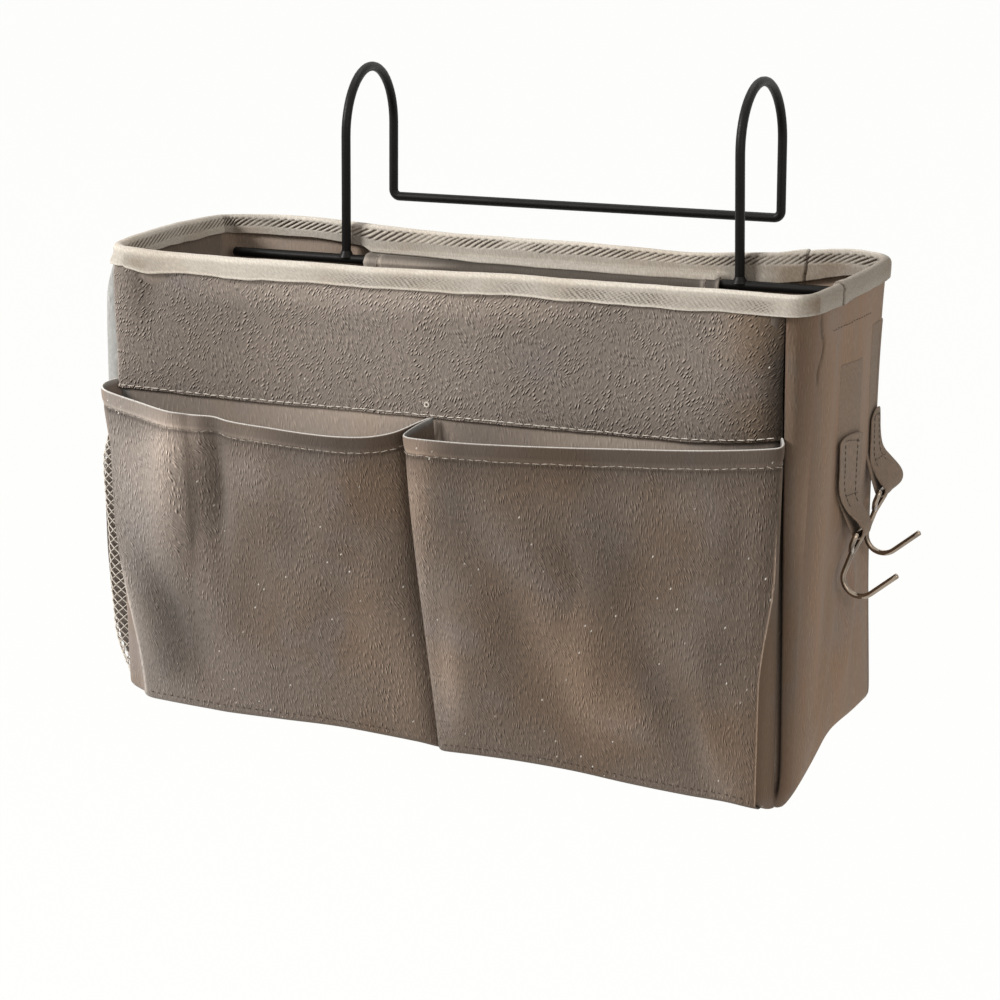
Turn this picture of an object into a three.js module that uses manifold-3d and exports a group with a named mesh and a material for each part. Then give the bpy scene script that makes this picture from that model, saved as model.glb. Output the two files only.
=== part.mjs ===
import * as THREE from "three";
import { mergeVertices } from "three/addons/utils/BufferGeometryUtils.js";
import Module from "manifold-3d";

const wasm = await Module();
wasm.setup();

// Soft caddy that hangs from a rail by two wire hooks. Sizes are in millimetres.
// The origin is the middle of the base's underside, the front faces -Y, and the
// hanger reaches over a rail behind the bag, along +Y.

// Bag
const bagWidth = 295; // over the tape at the rim
const bagDepth = 100; // over the tape at the rim
const bagHeight = 185; // to the top of the tape
const baseWidth = 278; // the side walls draw in towards the base
const wallCloth = 2; // canvas with its lining
const seatGap = 0.3; // clearance between sewn neighbours
const boardThickness = 2.5;
const boardClearance = 1; // from the base board to the walls

// Front band and rim tape
const bandHeight = 57; // from the rim to the band's folded lower edge
const bandLap = 8; // how far the lower front wall runs up behind the band
const tapeCloth = 1;
const tapeTurn = 9; // how far the tape comes down on each side of the rim
const tapeFold = 0.6; // rounding of the tape along the rim

// Front pockets
const pocketDivider = -4; // X of the seam between the two pockets
const pocketSeam = 2; // what that seam leaves between them
const pocketCloth = 1.6;
const pocketFoot = 2; // height of the pockets' bottom seam
const mouthDrop = 10.5; // from the band's lower edge to the hem at the middle of a pocket
const hemOuterRise = 9.5; // the hem climbs towards the bag's corner
const hemInnerRise = 3; // and less towards the divider
const hemBand = 11; // width of the folded hem
const hemCloth = 0.7; // what the fold adds to its thickness
const bellyDepth = 9;
const bellyHeight = 20;
const mouthDepth = 12;
const pocketSquareness = 6; // exponent of the pocket's rounded plan
const pocketSteps = 16;
const bellySteps = 4;

// Net pocket on the left side
const netFoot = 3;
const netDrop = 73; // from the rim to the top of the net
const netDepth = 14;
const netBelly = 24; // height over which the net swells out from its foot
const netFootShare = 0.25; // share of the depth that is left at the foot
const netSquareness = 3; // exponent of the net's rounded plan
const netCloth = 1.2;
const netPitch = 10; // from gap to gap, along and up
const netStrand = 1.5;
const netMargin = 4; // unbroken edge round the gaps
const netBand = 9;
const netBandCloth = 2.4;
const netBandSteps = 24;

// Hanger and its sleeve
const wireDiameter = 4;
const rodDiameter = 4;
const rodLength = 282;
const rodDrop = 5; // from the tape's lower edge to the rod's axis
const hookSpacing = 176.4; // between the two rail hooks
const railGap = 50; // clear gap between the legs of a hook
const hookRise = 67; // from the rim to the top of the wire over the rail
const backBarRise = 6; // from the rim to the axis of the back bar
const backBarBend = 3.5;
const sleeveLength = 161;
const sleeveCloth = 1.5;
const sleeveBore = 0.4; // clearance round the rod
const sleeveFlat = 3; // thickness of the sleeve where it is sewn to the wall
const sleeveBelow = 6; // from the rod's axis to the sleeve's lower edge

// Straps and hooks on the right side
const strapWidth = 22;
const strapCloth = 1.2;
const strapLie = 51; // length that lies along the wall
const strapDrop = 67.5; // from the strap's top to the eye of its hook
const strapOverlap = 19; // of the end that is folded back up
const strapLoopWidth = 10;
const eyeStandOff = 9.8; // from the wall to the middle of the eye
const sideHookWire = 2.2;
const sideHookBore = 0.35; // clearance between the strap's fold and the wire
const eyeWidth = 14;
const eyeSide = 4.5; // straight part of the eye's sides
const eyeDrop = 10; // from the eye's bar to the shank
const eyeBend = 1.6;
const shankLength = 8;
const throatRadius = 7;
const throatTurn = THREE.MathUtils.degToRad(149);
const tipLength = 13.5;
const hangTilt = THREE.MathUtils.degToRad(20); // the shank leans in so that the hook hangs in balance
const frontStrapPlace = bagDepth * 0.04; // Y of the strap's middle
const frontStrapDrop = 33; // from the rim to the strap's top
const rearStrapPlace = bagDepth * 0.35;
const rearStrapDrop = 23;
const straps = [
  { name: "front", y: frontStrapPlace, drop: frontStrapDrop },
  { name: "rear", y: rearStrapPlace, drop: rearStrapDrop },
];

const canvas = new THREE.MeshStandardMaterial({ color: 0x8d827a, roughness: 0.95, metalness: 0 });
const tapeCotton = new THREE.MeshStandardMaterial({ color: 0xe6dfd2, roughness: 0.9, metalness: 0 });
const netYarn = new THREE.MeshStandardMaterial({ color: 0xddd6c8, roughness: 0.85, metalness: 0 });
const greyBoard = new THREE.MeshStandardMaterial({ color: 0xa89b86, roughness: 0.9, metalness: 0 });
const blackCoat = new THREE.MeshStandardMaterial({ color: 0x17171a, roughness: 0.45, metalness: 0.3 });
const nickel = new THREE.MeshStandardMaterial({ color: 0xc7c6c3, roughness: 0.25, metalness: 1 });

const caddy = new THREE.Group();

function place(name, geometry, material) {
  const mesh = new THREE.Mesh(geometry, material);
  mesh.name = name;
  caddy.add(mesh);
  return mesh;
}

// Faces between consecutive closed outlines. The ends are capped unless the last outline joins the first.
function skin(outlines, joined = false) {
  const count = outlines[0].length;
  const points = outlines.flat();
  const faces = [];
  const spans = joined ? outlines.length : outlines.length - 1;
  for (let i = 0; i < spans; i++) {
    const here = i * count;
    const there = ((i + 1) % outlines.length) * count;
    for (let j = 0; j < count; j++) {
      const k = (j + 1) % count;
      faces.push(here + j, here + k, there + k);
      faces.push(here + j, there + k, there + j);
    }
  }
  if (!joined) {
    faces.push(...cap(count, 0, true));
    faces.push(...cap(count, points.length - count, false));
  }
  const geometry = new THREE.BufferGeometry().setFromPoints(points);
  geometry.setIndex(faces);
  return geometry;
}

// An outline that goes up one side of a strip and down the other is closed by rungs between the sides.
function cap(count, offset, reversed) {
  const faces = [];
  for (let near = 0; near < count / 2 - 1; near++) {
    const far = count - 1 - near;
    faces.push([near, near + 1, far - 1], [near, far - 1, far]);
  }
  return faces.flatMap(([a, b, c]) => (reversed ? [c, b, a] : [a, b, c]).map((i) => i + offset));
}

function solidFrom(geometry) {
  const bare = new THREE.BufferGeometry().setAttribute("position", geometry.getAttribute("position"));
  bare.setIndex(geometry.index);
  const merged = mergeVertices(bare, 1e-3);
  const vertProperties = new Float32Array(merged.attributes.position.array);
  const triVerts = new Uint32Array(merged.index.array);
  return new wasm.Manifold(new wasm.Mesh({ numProp: 3, vertProperties, triVerts }));
}

function geometryFrom(solid) {
  const { vertProperties, triVerts } = solid.getMesh();
  const geometry = new THREE.BufferGeometry();
  geometry.setAttribute("position", new THREE.BufferAttribute(vertProperties, 3));
  geometry.setIndex(new THREE.BufferAttribute(triVerts, 1));
  return geometry;
}

// Bent wire: straight lengths joined by arcs of the given bend radii.
class BendArc extends THREE.Curve {
  constructor(centre, spoke, axis, angle) {
    super();
    Object.assign(this, { centre, spoke, axis, angle });
  }

  getPoint(t, target = new THREE.Vector3()) {
    return target.copy(this.spoke).applyAxisAngle(this.axis, this.angle * t).add(this.centre);
  }
}

function bentPath(corners, bends) {
  const path = new THREE.CurvePath();
  let from = corners[0];
  bends.forEach((radius, i) => {
    const corner = corners[i + 1];
    const back = corners[i].clone().sub(corner).normalize();
    const ahead = corners[i + 2].clone().sub(corner).normalize();
    const turn = Math.PI - back.angleTo(ahead);
    const setback = radius * Math.tan(turn / 2);
    const start = corner.clone().addScaledVector(back, setback);
    const bisector = back.clone().add(ahead).normalize();
    const centre = corner.clone().addScaledVector(bisector, radius / Math.cos(turn / 2));
    const axis = new THREE.Vector3().crossVectors(ahead, back).normalize();
    if (start.distanceTo(from) > seatGap) path.add(new THREE.LineCurve3(from, start));
    path.add(new BendArc(centre, start.clone().sub(centre), axis, turn));
    from = corner.clone().addScaledVector(ahead, setback);
  });
  path.add(new THREE.LineCurve3(from, corners.at(-1)));
  return path;
}

function wireAlong(path, diameter, step) {
  const section = new THREE.Shape().absarc(0, 0, diameter / 2, 0, 2 * Math.PI);
  const steps = Math.ceil(path.getLength() / step);
  return new THREE.ExtrudeGeometry(section, { steps, curveSegments: 5, extrudePath: path, bevelEnabled: false });
}

// Walls. Their faces come from the tape that covers their top edges.
const rimHalfWidth = bagWidth / 2 - tapeCloth - seatGap;
const frontFace = -(bagDepth / 2 - tapeCloth - seatGap);
const backFace = -frontFace;
const wallTop = bagHeight - tapeCloth - seatGap;
const lowerFace = frontFace + wallCloth + seatGap; // front of the lower wall, behind the band
const backInside = backFace - wallCloth;
const bandSeamHeight = bagHeight - bandHeight;
const tapeFoot = bagHeight - tapeTurn;
const netTop = bagHeight - netDrop;

function halfWidthAt(z) {
  return THREE.MathUtils.lerp(baseWidth / 2, rimHalfWidth, z / bagHeight);
}

function wall(left, right, front, back, foot, top) {
  const outline = (z) => [
    new THREE.Vector3(left(z), front, z),
    new THREE.Vector3(right(z), front, z),
    new THREE.Vector3(right(z), back, z),
    new THREE.Vector3(left(z), back, z),
  ];
  return skin([outline(foot), outline(top)]);
}

function crossWall(inset, front, foot, top) {
  const edge = (z) => halfWidthAt(z) - inset;
  return wall((z) => -edge(z), edge, front, front + wallCloth, foot, top);
}

function makeWalls() {
  const halfBase = baseWidth / 2;
  const boardEdge = halfBase - wallCloth - boardClearance;
  const boardFront = lowerFace + wallCloth + boardClearance;
  const boardTop = wallCloth + boardThickness;
  const sideInset = wallCloth + seatGap;
  place("base_panel", wall(() => -halfBase, () => halfBase, lowerFace, backFace, 0, wallCloth), canvas);
  const board = wall(() => -boardEdge, () => boardEdge, boardFront, backInside - boardClearance, wallCloth, boardTop);
  place("base_board", board, greyBoard);
  place("front_lower_panel", crossWall(sideInset, lowerFace, wallCloth, bandSeamHeight + bandLap), canvas);
  place("front_upper_panel", crossWall(0, frontFace, bandSeamHeight, wallTop), canvas);
  place("back_panel", crossWall(0, backInside, wallCloth, wallTop), canvas);
  const outer = halfWidthAt;
  const inner = (z) => halfWidthAt(z) - wallCloth;
  const sideBack = backInside - seatGap;
  const leftSide = wall((z) => -outer(z), (z) => -inner(z), lowerFace, sideBack, wallCloth, wallTop);
  place("left_side_panel", leftSide, canvas);
  place("right_side_panel", wall(inner, outer, lowerFace, sideBack, wallCloth, wallTop), canvas);
}

// The tape is a channel folded over the rim, mitred at the four corners.
function makeRimTape() {
  const outside = seatGap + tapeCloth;
  const inside = -wallCloth - seatGap;
  const roof = bagHeight - tapeCloth;
  const profile = [
    [seatGap, tapeFoot],
    [outside, tapeFoot],
    [outside, bagHeight - tapeFold],
    [outside - tapeFold, bagHeight],
    [inside - tapeCloth + tapeFold, bagHeight],
    [inside - tapeCloth, bagHeight - tapeFold],
    [inside - tapeCloth, tapeFoot],
    [inside, tapeFoot],
    [inside, roof],
    [seatGap, roof],
  ];
  const corners = [[1, -1], [-1, -1], [-1, 1], [1, 1]];
  const outlines = corners.map(([sx, sy]) =>
    profile.map(([out, z]) => new THREE.Vector3(sx * (halfWidthAt(z) + out), sy * (backFace + out), z)),
  );
  place("rim_tape", skin(outlines, true), tapeCotton);
}

// Rounded plan of a pocket: how far along (-1 to 1) and how far out (0 to 1) at an angle from 0 to pi.
function roundedPlan(angle, squareness) {
  const along = -Math.sign(Math.cos(angle)) * Math.abs(Math.cos(angle)) ** (2 / squareness);
  const out = Math.abs(Math.sin(angle)) ** (2 / squareness);
  return { along, out };
}

// A front pocket swells from its bottom seam to a belly, widens to its mouth and ends in a hem.
function makeFrontPocket(name, side) {
  const pocketMouth = bandSeamHeight - mouthDrop;
  const seat = lowerFace - seatGap;
  const inner = pocketDivider + (side * pocketSeam) / 2;
  const outer = (z) => side * (halfWidthAt(z) - seatGap);

  function wallPoint(angle, height, depth, inset) {
    const { along, out } = roundedPlan(angle, pocketSquareness);
    const middle = (outer(height) + inner) / 2;
    const reach = Math.abs(outer(height) - inner) / 2 - inset;
    return new THREE.Vector3(middle + along * reach, seat - depth * out, height);
  }

  function section(angle) {
    const { along } = roundedPlan(angle, pocketSquareness);
    const rise = along * side > 0 ? hemOuterRise : hemInnerRise;
    const mouth = pocketMouth + rise * along ** 2;
    const hem = mouth - hemBand;
    const depthAt = (z) => THREE.MathUtils.mapLinear(z, pocketFoot, pocketMouth, bellyDepth, mouthDepth);
    const outside = [];
    const inside = [];
    for (let i = 0; i <= bellySteps; i++) {
      const swell = ((Math.PI / 2) * i) / bellySteps;
      const lift = 1 - Math.cos(swell);
      const zOut = pocketFoot + bellyHeight * lift;
      const zIn = pocketFoot + pocketCloth + (bellyHeight - pocketCloth) * lift;
      outside.push(wallPoint(angle, zOut, depthAt(zOut) * Math.sin(swell), 0));
      inside.push(wallPoint(angle, zIn, (depthAt(zIn) - pocketCloth) * Math.sin(swell), pocketCloth));
    }
    outside.push(wallPoint(angle, hem - hemCloth, depthAt(hem), 0));
    for (const z of [hem, mouth]) outside.push(wallPoint(angle, z, depthAt(z) + hemCloth, 0));
    for (const z of [hem - hemCloth, hem, mouth]) {
      inside.push(wallPoint(angle, z, depthAt(z) - pocketCloth, pocketCloth));
    }
    return [...outside, ...inside.reverse()];
  }

  const outlines = [];
  for (let i = pocketSteps; i >= 0; i--) outlines.push(section((Math.PI * i) / pocketSteps));
  place(name, skin(outlines), canvas);
}

// The net pocket bows out from the left wall. A point on it is given by its way along the net from the
// rear edge, its height and its distance out from the net's inner face.
class NetPlan extends THREE.Curve {
  constructor(halfLength) {
    super();
    this.halfLength = halfLength;
    this.arcLengthDivisions = 1000;
  }

  getPoint(t, target = new THREE.Vector3()) {
    const { along, out } = roundedPlan(Math.PI * t, netSquareness);
    return target.set(0, -along * this.halfLength, out * netDepth);
  }
}

const netPlan = new NetPlan((backInside - seatGap - lowerFace) / 2);
const netMiddle = (backInside - seatGap + lowerFace) / 2;
const netLength = netPlan.getLength();

function netSurface(way, z) {
  const { y, z: out } = netPlan.getPointAt(THREE.MathUtils.clamp(way / netLength, 0, 1));
  const swell = Math.sin((Math.PI / 2) * THREE.MathUtils.clamp((z - netFoot) / netBelly, 0, 1));
  const depth = out * THREE.MathUtils.lerp(netFootShare, 1, swell);
  return new THREE.Vector3(-(halfWidthAt(z) + seatGap + depth), netMiddle + y, z);
}

function netPoint(way, z, out) {
  const reach = 0.1;
  const before = Math.max(way - reach, 0);
  const after = Math.min(way + reach, netLength);
  const along = netSurface(after, z).sub(netSurface(before, z));
  const up = netSurface(way, z + reach).sub(netSurface(way, z));
  const normal = along.cross(up).normalize();
  return netSurface(way, z).addScaledVector(normal, out);
}

// The net laid flat: a ring of four faces round each diamond gap, and an unbroken edge round them all.
function netFaces() {
  const size = [netLength, netTop - netFoot];
  const cell = netPitch / 2;
  const gap = cell - netStrand / Math.SQRT2;
  const spans = size.map((length) => Math.floor((length - 2 * (netMargin + gap)) / netPitch));
  const first = size.map((length, i) => (length - spans[i] * netPitch) / 2);
  const faces = [];

  const ring = (x, y) => {
    const corner = (quarter, reach) => {
      const angle = (Math.PI / 2) * quarter;
      return [x + reach * Math.cos(angle), y + reach * Math.sin(angle)];
    };
    for (let i = 0; i < 4; i++) faces.push([corner(i, cell), corner(i + 1, cell), corner(i + 1, gap), corner(i, gap)]);
  };
  for (let row = 0; row <= spans[1]; row++) {
    for (let column = 0; column <= spans[0]; column++) {
      const x = first[0] + column * netPitch;
      const y = first[1] + row * netPitch;
      ring(x, y);
      if (row < spans[1] && column < spans[0]) ring(x + cell, y + cell);
    }
  }

  // Each side of the edge in turn, from its own start, with the net inward of it.
  for (let side = 0; side < 4; side++) {
    const axis = side % 2;
    const at = (along, inward) => {
      const places = [
        [along, inward],
        [size[0] - inward, along],
        [size[0] - along, size[1] - inward],
        [inward, size[1] - along],
      ];
      return places[side];
    };
    const notch = first[1 - axis];
    const tip = notch - cell;
    let along = first[axis];
    for (let i = 0; i < spans[axis]; i++) {
      const middle = along + cell;
      const next = along + netPitch;
      faces.push([at(along, 0), at(middle, 0), at(middle, notch), at(along, tip)]);
      faces.push([at(middle, 0), at(next, 0), at(next, tip), at(middle, notch)]);
      along = next;
    }
    const end = size[axis];
    faces.push([at(along, 0), at(end, 0), at(end, notch), at(along + cell, notch), at(along, tip)]);
  }
  return faces;
}

// A flat sheet of faces that share their edges, given a thickness and bent by a function of x, y and height.
function bentSheet(faces, thickness, bend) {
  const triangles = faces.flatMap((face) => face.slice(2).flatMap((corner, i) => [face[0], face[i + 1], corner]));
  const corners = triangles.map(([x, y]) => new THREE.Vector2(x, y));
  const flat = mergeVertices(new THREE.BufferGeometry().setFromPoints(corners), 1e-3);
  const spots = flat.getAttribute("position");
  const outer = [];
  const inner = [];
  for (let i = 0; i < spots.count; i++) {
    outer.push(bend(spots.getX(i), spots.getY(i), thickness));
    inner.push(bend(spots.getX(i), spots.getY(i), 0));
  }
  const top = Array.from(flat.index.array);
  const bottom = top.map((corner) => corner + spots.count).reverse();
  const borders = new Map();
  for (let i = 0; i < top.length; i++) {
    const from = top[i];
    const to = top[i % 3 === 2 ? i - 2 : i + 1];
    if (!borders.delete(`${to} ${from}`)) borders.set(`${from} ${to}`, [from, to]);
  }
  const sides = [...borders.values()].flatMap(([from, to]) => {
    const [fromBelow, toBelow] = [from + spots.count, to + spots.count];
    return [to, from, fromBelow, to, fromBelow, toBelow];
  });
  const sheet = new THREE.BufferGeometry().setFromPoints([...outer, ...inner]);
  sheet.setIndex([...top, ...bottom, ...sides]);
  return sheet;
}

function makeNet() {
  const net = bentSheet(netFaces(), netCloth, (way, up, out) => netPoint(way, netFoot + up, out));
  place("mesh_pocket_net", net, netYarn);
}

function makeNetBand() {
  const foot = netTop + seatGap;
  const top = netTop + netBand;
  const outlines = [];
  for (let i = 0; i <= netBandSteps; i++) {
    const way = (netLength * i) / netBandSteps;
    outlines.push([
      netPoint(way, foot, 0),
      netPoint(way, top, 0),
      netPoint(way, top, netBandCloth),
      netPoint(way, foot, netBandCloth),
    ]);
  }
  place("mesh_pocket_band", skin(outlines), tapeCotton);
}

// The sleeve is sewn flat to the back wall above and below the rod that it holds.
const rodRadius = rodDiameter / 2;
const rodHeight = tapeFoot - rodDrop;
const sleeveSeat = backInside - seatGap;
const rodY = sleeveSeat - sleeveCloth - sleeveBore - rodRadius;

function makeSleeve() {
  const around = rodRadius + sleeveBore + sleeveCloth;
  const top = tapeFoot - seatGap;
  const foot = rodHeight - sleeveBelow;
  const profile = new THREE.Shape();
  profile.moveTo(sleeveSeat, foot);
  profile.lineTo(sleeveSeat, top);
  profile.lineTo(sleeveSeat - sleeveFlat, top);
  profile.absarc(rodY, rodHeight, around, Math.PI * 0.6, Math.PI * 1.4);
  profile.lineTo(sleeveSeat - sleeveFlat, foot);
  profile.closePath();
  profile.holes.push(new THREE.Path().absarc(rodY, rodHeight, rodRadius + sleeveBore, 0, 2 * Math.PI, true));
  const sleeve = new THREE.ExtrudeGeometry(profile, { depth: sleeveLength, curveSegments: 8, bevelEnabled: false });
  const [x, y, z] = [0, 1, 2].map((i) => new THREE.Vector3().setComponent(i, 1));
  sleeve.applyMatrix4(new THREE.Matrix4().makeBasis(y, z, x));
  place("rod_sleeve", sleeve, canvas).position.x = -sleeveLength / 2;
}

function rodGeometry(radius) {
  return new THREE.CylinderGeometry(radius, radius, rodLength, 16).rotateZ(Math.PI / 2).translate(0, rodY, rodHeight);
}

// One wire makes both rail hooks and the bar behind them. Its feet are coped to sit on the rod.
function makeHanger() {
  const x = hookSpacing / 2;
  const legSpacing = railGap + wireDiameter;
  const back = rodY + legSpacing;
  const apex = bagHeight + hookRise - wireDiameter / 2;
  const bar = bagHeight + backBarRise;
  const corners = [
    new THREE.Vector3(-x, rodY, rodHeight),
    new THREE.Vector3(-x, rodY, apex),
    new THREE.Vector3(-x, back, apex),
    new THREE.Vector3(-x, back, bar),
    new THREE.Vector3(x, back, bar),
    new THREE.Vector3(x, back, apex),
    new THREE.Vector3(x, rodY, apex),
    new THREE.Vector3(x, rodY, rodHeight),
  ];
  const arch = legSpacing / 2;
  const path = bentPath(corners, [arch, arch, backBarBend, backBarBend, arch, arch]);
  const wire = solidFrom(wireAlong(path, wireDiameter, wireDiameter));
  const coped = wire.subtract(solidFrom(rodGeometry(rodRadius + seatGap)));
  place("hanger_wire", geometryFrom(coped), blackCoat);
  place("support_rod", rodGeometry(rodRadius), blackCoat);
}

// A strap lies down the right wall, leaves it to go round the eye of its hook, and is sewn back on itself.
function makeStrap(strap) {
  const half = strapCloth / 2;
  const layer = strapCloth + seatGap;
  const top = bagHeight - strap.drop;
  const kink = top - strapLie;
  const eye = eyeOf(strap);
  const onWall = (z, out) => new THREE.Vector2(halfWidthAt(z) + seatGap + half + out, z);
  const leave = onWall(kink, 0);
  const way = new THREE.Vector2(eye.x, eye.z).sub(leave);
  const heading = way.angle();
  const fold = sideHookWire / 2 + sideHookBore + half;
  const middle = [onWall(top, 0), leave];
  const foldSteps = 8;
  for (let i = 0; i <= foldSteps; i++) {
    const angle = heading - Math.PI / 2 + (Math.PI * i) / foldSteps;
    middle.push(new THREE.Vector2(eye.x + fold * Math.cos(angle), eye.z + fold * Math.sin(angle)));
  }
  middle.push(onWall(kink, layer), onWall(kink + strapOverlap, layer));

  const sideLine = (offset) =>
    middle.map((point, i) => {
      const before = middle[Math.max(i - 1, 0)];
      const after = middle[Math.min(i + 1, middle.length - 1)];
      const along = after.clone().sub(before).normalize();
      return new THREE.Vector2(point.x - along.y * offset, point.y + along.x * offset);
    });
  const ribbon = [...sideLine(-half), ...sideLine(half).reverse()];
  const halfWidth = (z) => {
    const share = THREE.MathUtils.smoothstep(z, eye.z, kink);
    return THREE.MathUtils.lerp(strapLoopWidth, strapWidth, share) / 2;
  };
  const edge = (sign) => ribbon.map(({ x, y: z }) => new THREE.Vector3(x, strap.y + sign * halfWidth(z), z));
  place(strap.name + "_strap", skin([edge(1), edge(-1)]), canvas);
}

function eyeOf(strap) {
  const z = bagHeight - strap.drop - strapDrop;
  return new THREE.Vector3(halfWidthAt(z) + eyeStandOff, strap.y, z);
}

// A side hook: a closed eye, a shank and an open throat. Its own origin is the middle of the eye's bar.
function makeSideHook(strap) {
  const half = eyeWidth / 2;
  const closing = sideHookWire + 2 * seatGap; // the eye's loose end stops beside the shank
  const throatStart = -eyeDrop - shankLength;
  const throatCorner = throatStart - throatRadius * Math.tan(throatTurn / 2);
  const tipReach = throatRadius * Math.tan(throatTurn / 2) + tipLength;
  const tipHeading = throatTurn - Math.PI / 2;
  const corners = [
    new THREE.Vector3(0, -closing, -eyeDrop + eyeBend),
    new THREE.Vector3(0, -half, -eyeSide),
    new THREE.Vector3(0, -half, 0),
    new THREE.Vector3(0, half, 0),
    new THREE.Vector3(0, half, -eyeSide),
    new THREE.Vector3(0, 0, -eyeDrop),
    new THREE.Vector3(0, 0, throatCorner),
    new THREE.Vector3(
      tipReach * Math.cos(tipHeading),
      0,
      throatCorner + tipReach * Math.sin(tipHeading),
    ),
  ];
  const path = bentPath(corners, [eyeBend, eyeBend, eyeBend, eyeBend, eyeBend, throatRadius]);
  const hook = place(strap.name + "_side_hook", wireAlong(path, sideHookWire, sideHookWire * 0.75), nickel);
  hook.position.copy(eyeOf(strap));
  hook.rotation.y = hangTilt;
}

makeWalls();
makeRimTape();
makeFrontPocket("left_front_pocket", -1);
makeFrontPocket("right_front_pocket", 1);
makeNet();
makeNetBand();
makeSleeve();
makeHanger();
for (const strap of straps) {
  makeStrap(strap);
  makeSideHook(strap);
}

export default caddy;
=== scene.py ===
import math

import bmesh
import bpy
from mathutils import Matrix, Vector, noise


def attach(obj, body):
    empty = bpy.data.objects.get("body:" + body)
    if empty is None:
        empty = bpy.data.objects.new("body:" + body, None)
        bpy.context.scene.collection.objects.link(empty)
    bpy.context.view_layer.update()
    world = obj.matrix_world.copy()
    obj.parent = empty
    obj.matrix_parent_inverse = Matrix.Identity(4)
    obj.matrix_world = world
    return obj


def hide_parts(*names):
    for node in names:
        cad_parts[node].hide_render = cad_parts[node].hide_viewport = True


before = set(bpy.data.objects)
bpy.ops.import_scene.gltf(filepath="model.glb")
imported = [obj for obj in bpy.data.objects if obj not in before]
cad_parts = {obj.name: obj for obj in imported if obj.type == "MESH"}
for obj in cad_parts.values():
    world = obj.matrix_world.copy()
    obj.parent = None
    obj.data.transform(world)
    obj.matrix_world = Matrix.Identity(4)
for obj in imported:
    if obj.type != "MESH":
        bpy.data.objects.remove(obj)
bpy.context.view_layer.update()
scene = bpy.context.scene
mm = 0.001  # sizes below are in millimetres, in the CAD frame: the front faces -Y


# helpers

def clamp(x, low=0.0, high=1.0):
    return max(low, min(high, x))


def mix(a, b, t):
    return a + (b - a) * t


def ease(a, b, x):
    t = clamp((x - a) / (b - a))
    return t * t * (3 - 2 * t)


def bell(x, middle, width):
    return math.exp(-(((x - middle) / width) ** 2))


# folds that lean with the height: each row says how far one stands out, its lean and the height that the
# lean starts from, where it is and how wide, and the middle and the reach of its length
def foldSum(rows, x, z):
    out = 0.0
    for gain, lean, level, at, wide, middle, reach in rows:
        out += gain * bell(x + lean * (z - level), at, wide) * bell(z, middle, reach)
    return out


def ripple(a, b, seed):
    return noise.noise(Vector((a, b, seed)))


def steps(start, end, spacing):
    count = max(1, round(abs(end - start) / spacing))
    return [mix(start, end, i / count) for i in range(count + 1)]


def linear(table, x):
    for (xa, ya), (xb, yb) in zip(table, table[1:]):
        if x <= xb:
            break
    return mix(ya, yb, clamp((x - xa) / (xb - xa)))


def follow(table, x, soft=6.0):
    return sum(linear(table, x + soft * k / 2) for k in (-2, -1, 0, 1, 2)) / 5


# a smooth line through points: s counts the points
def alongPath(points, s):
    last = len(points) - 1
    i = min(int(s), last - 1)
    t = s - i
    a, b = Vector(points[i]), Vector(points[i + 1])
    before, after = Vector(points[max(i - 1, 0)]), Vector(points[min(i + 2, last)])
    reach = (b - a).length / 3
    h = a + (b - before).normalized() * reach
    k = b - (after - a).normalized() * reach
    u = 1 - t
    return a * u ** 3 + h * (3 * u * u * t) + k * (3 * u * t * t) + b * t ** 3


# the spot a way along straight pieces, and their direction there
def alongLine(points, way):
    for a, b in zip(points, points[1:]):
        a, b = Vector(a), Vector(b)
        span = (b - a).length
        if way <= span:
            break
        way -= span
    along = (b - a).normalized()
    return a + along * min(way, span), along


def pathSpots(points, spacing):
    spots = [0.0]
    for i, (a, b) in enumerate(zip(points, points[1:])):
        count = max(3, round((Vector(b) - Vector(a)).length / spacing))
        spots += [i + (j + 1) / count for j in range(count)]
    return spots


def pathLengths(points, spots):
    lengths = [0.0]
    for a, b in zip(spots, spots[1:]):
        lengths.append(lengths[-1] + (alongPath(points, b) - alongPath(points, a)).length)
    return lengths


# a grid whose corners are moved to place(column, row), with a uv map in metres along the cloth
# and any marks, such as a tone, kept as vertex attributes
def clothGrid(columns, rows, place, across=None, up=None, joined=False, marks=None):
    bm = bmesh.new()
    wide, tall = len(columns) - 1, len(rows) - 1
    bmesh.ops.create_grid(bm, x_segments=wide, y_segments=tall, size=0.5)
    layers = {name: bm.verts.layers.float.new(name) for name in marks or {}}
    spots = {v: (round((v.co.x + 0.5) * wide), round((v.co.y + 0.5) * tall)) for v in bm.verts}
    uvLayer = bm.loops.layers.uv.new("cloth")
    across, up = across or columns, up or rows
    for face in bm.faces:
        for loop in face.loops:
            i, j = spots[loop.vert]
            loop[uvLayer].uv = (across[i] * mm, up[j] * mm)
    for v, (i, j) in spots.items():
        v.co = Vector(place(columns[i], rows[j])) * mm
        for name, layer in layers.items():
            v[layer] = marks[name](columns[i], rows[j])
    if joined:
        bmesh.ops.remove_doubles(bm, verts=bm.verts[:], dist=1e-6)
    return bm


def makePiece(name, bm, material, body="bag", replaces=()):
    mesh = bpy.data.meshes.new(name)
    bm.to_mesh(mesh)
    bm.free()
    return setPiece(name, mesh, material, body, replaces)


def setPiece(name, mesh, material, body, replaces):
    mesh.shade_smooth()
    mesh.materials.clear()
    mesh.materials.append(material)
    piece = bpy.data.objects.new(name, mesh)
    scene.collection.objects.link(piece)
    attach(piece, body)
    if replaces:
        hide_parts(*replaces)
    return piece


def thicken(piece, thickness, offset=-1.0, levels=0):
    solid = piece.modifiers.new("thickness", "SOLIDIFY")
    solid.thickness = thickness * mm
    solid.offset = offset
    solid.use_even_offset = False
    if levels:
        smoother = piece.modifiers.new("soften", "SUBSURF")
        smoother.levels = smoother.render_levels = levels


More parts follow.
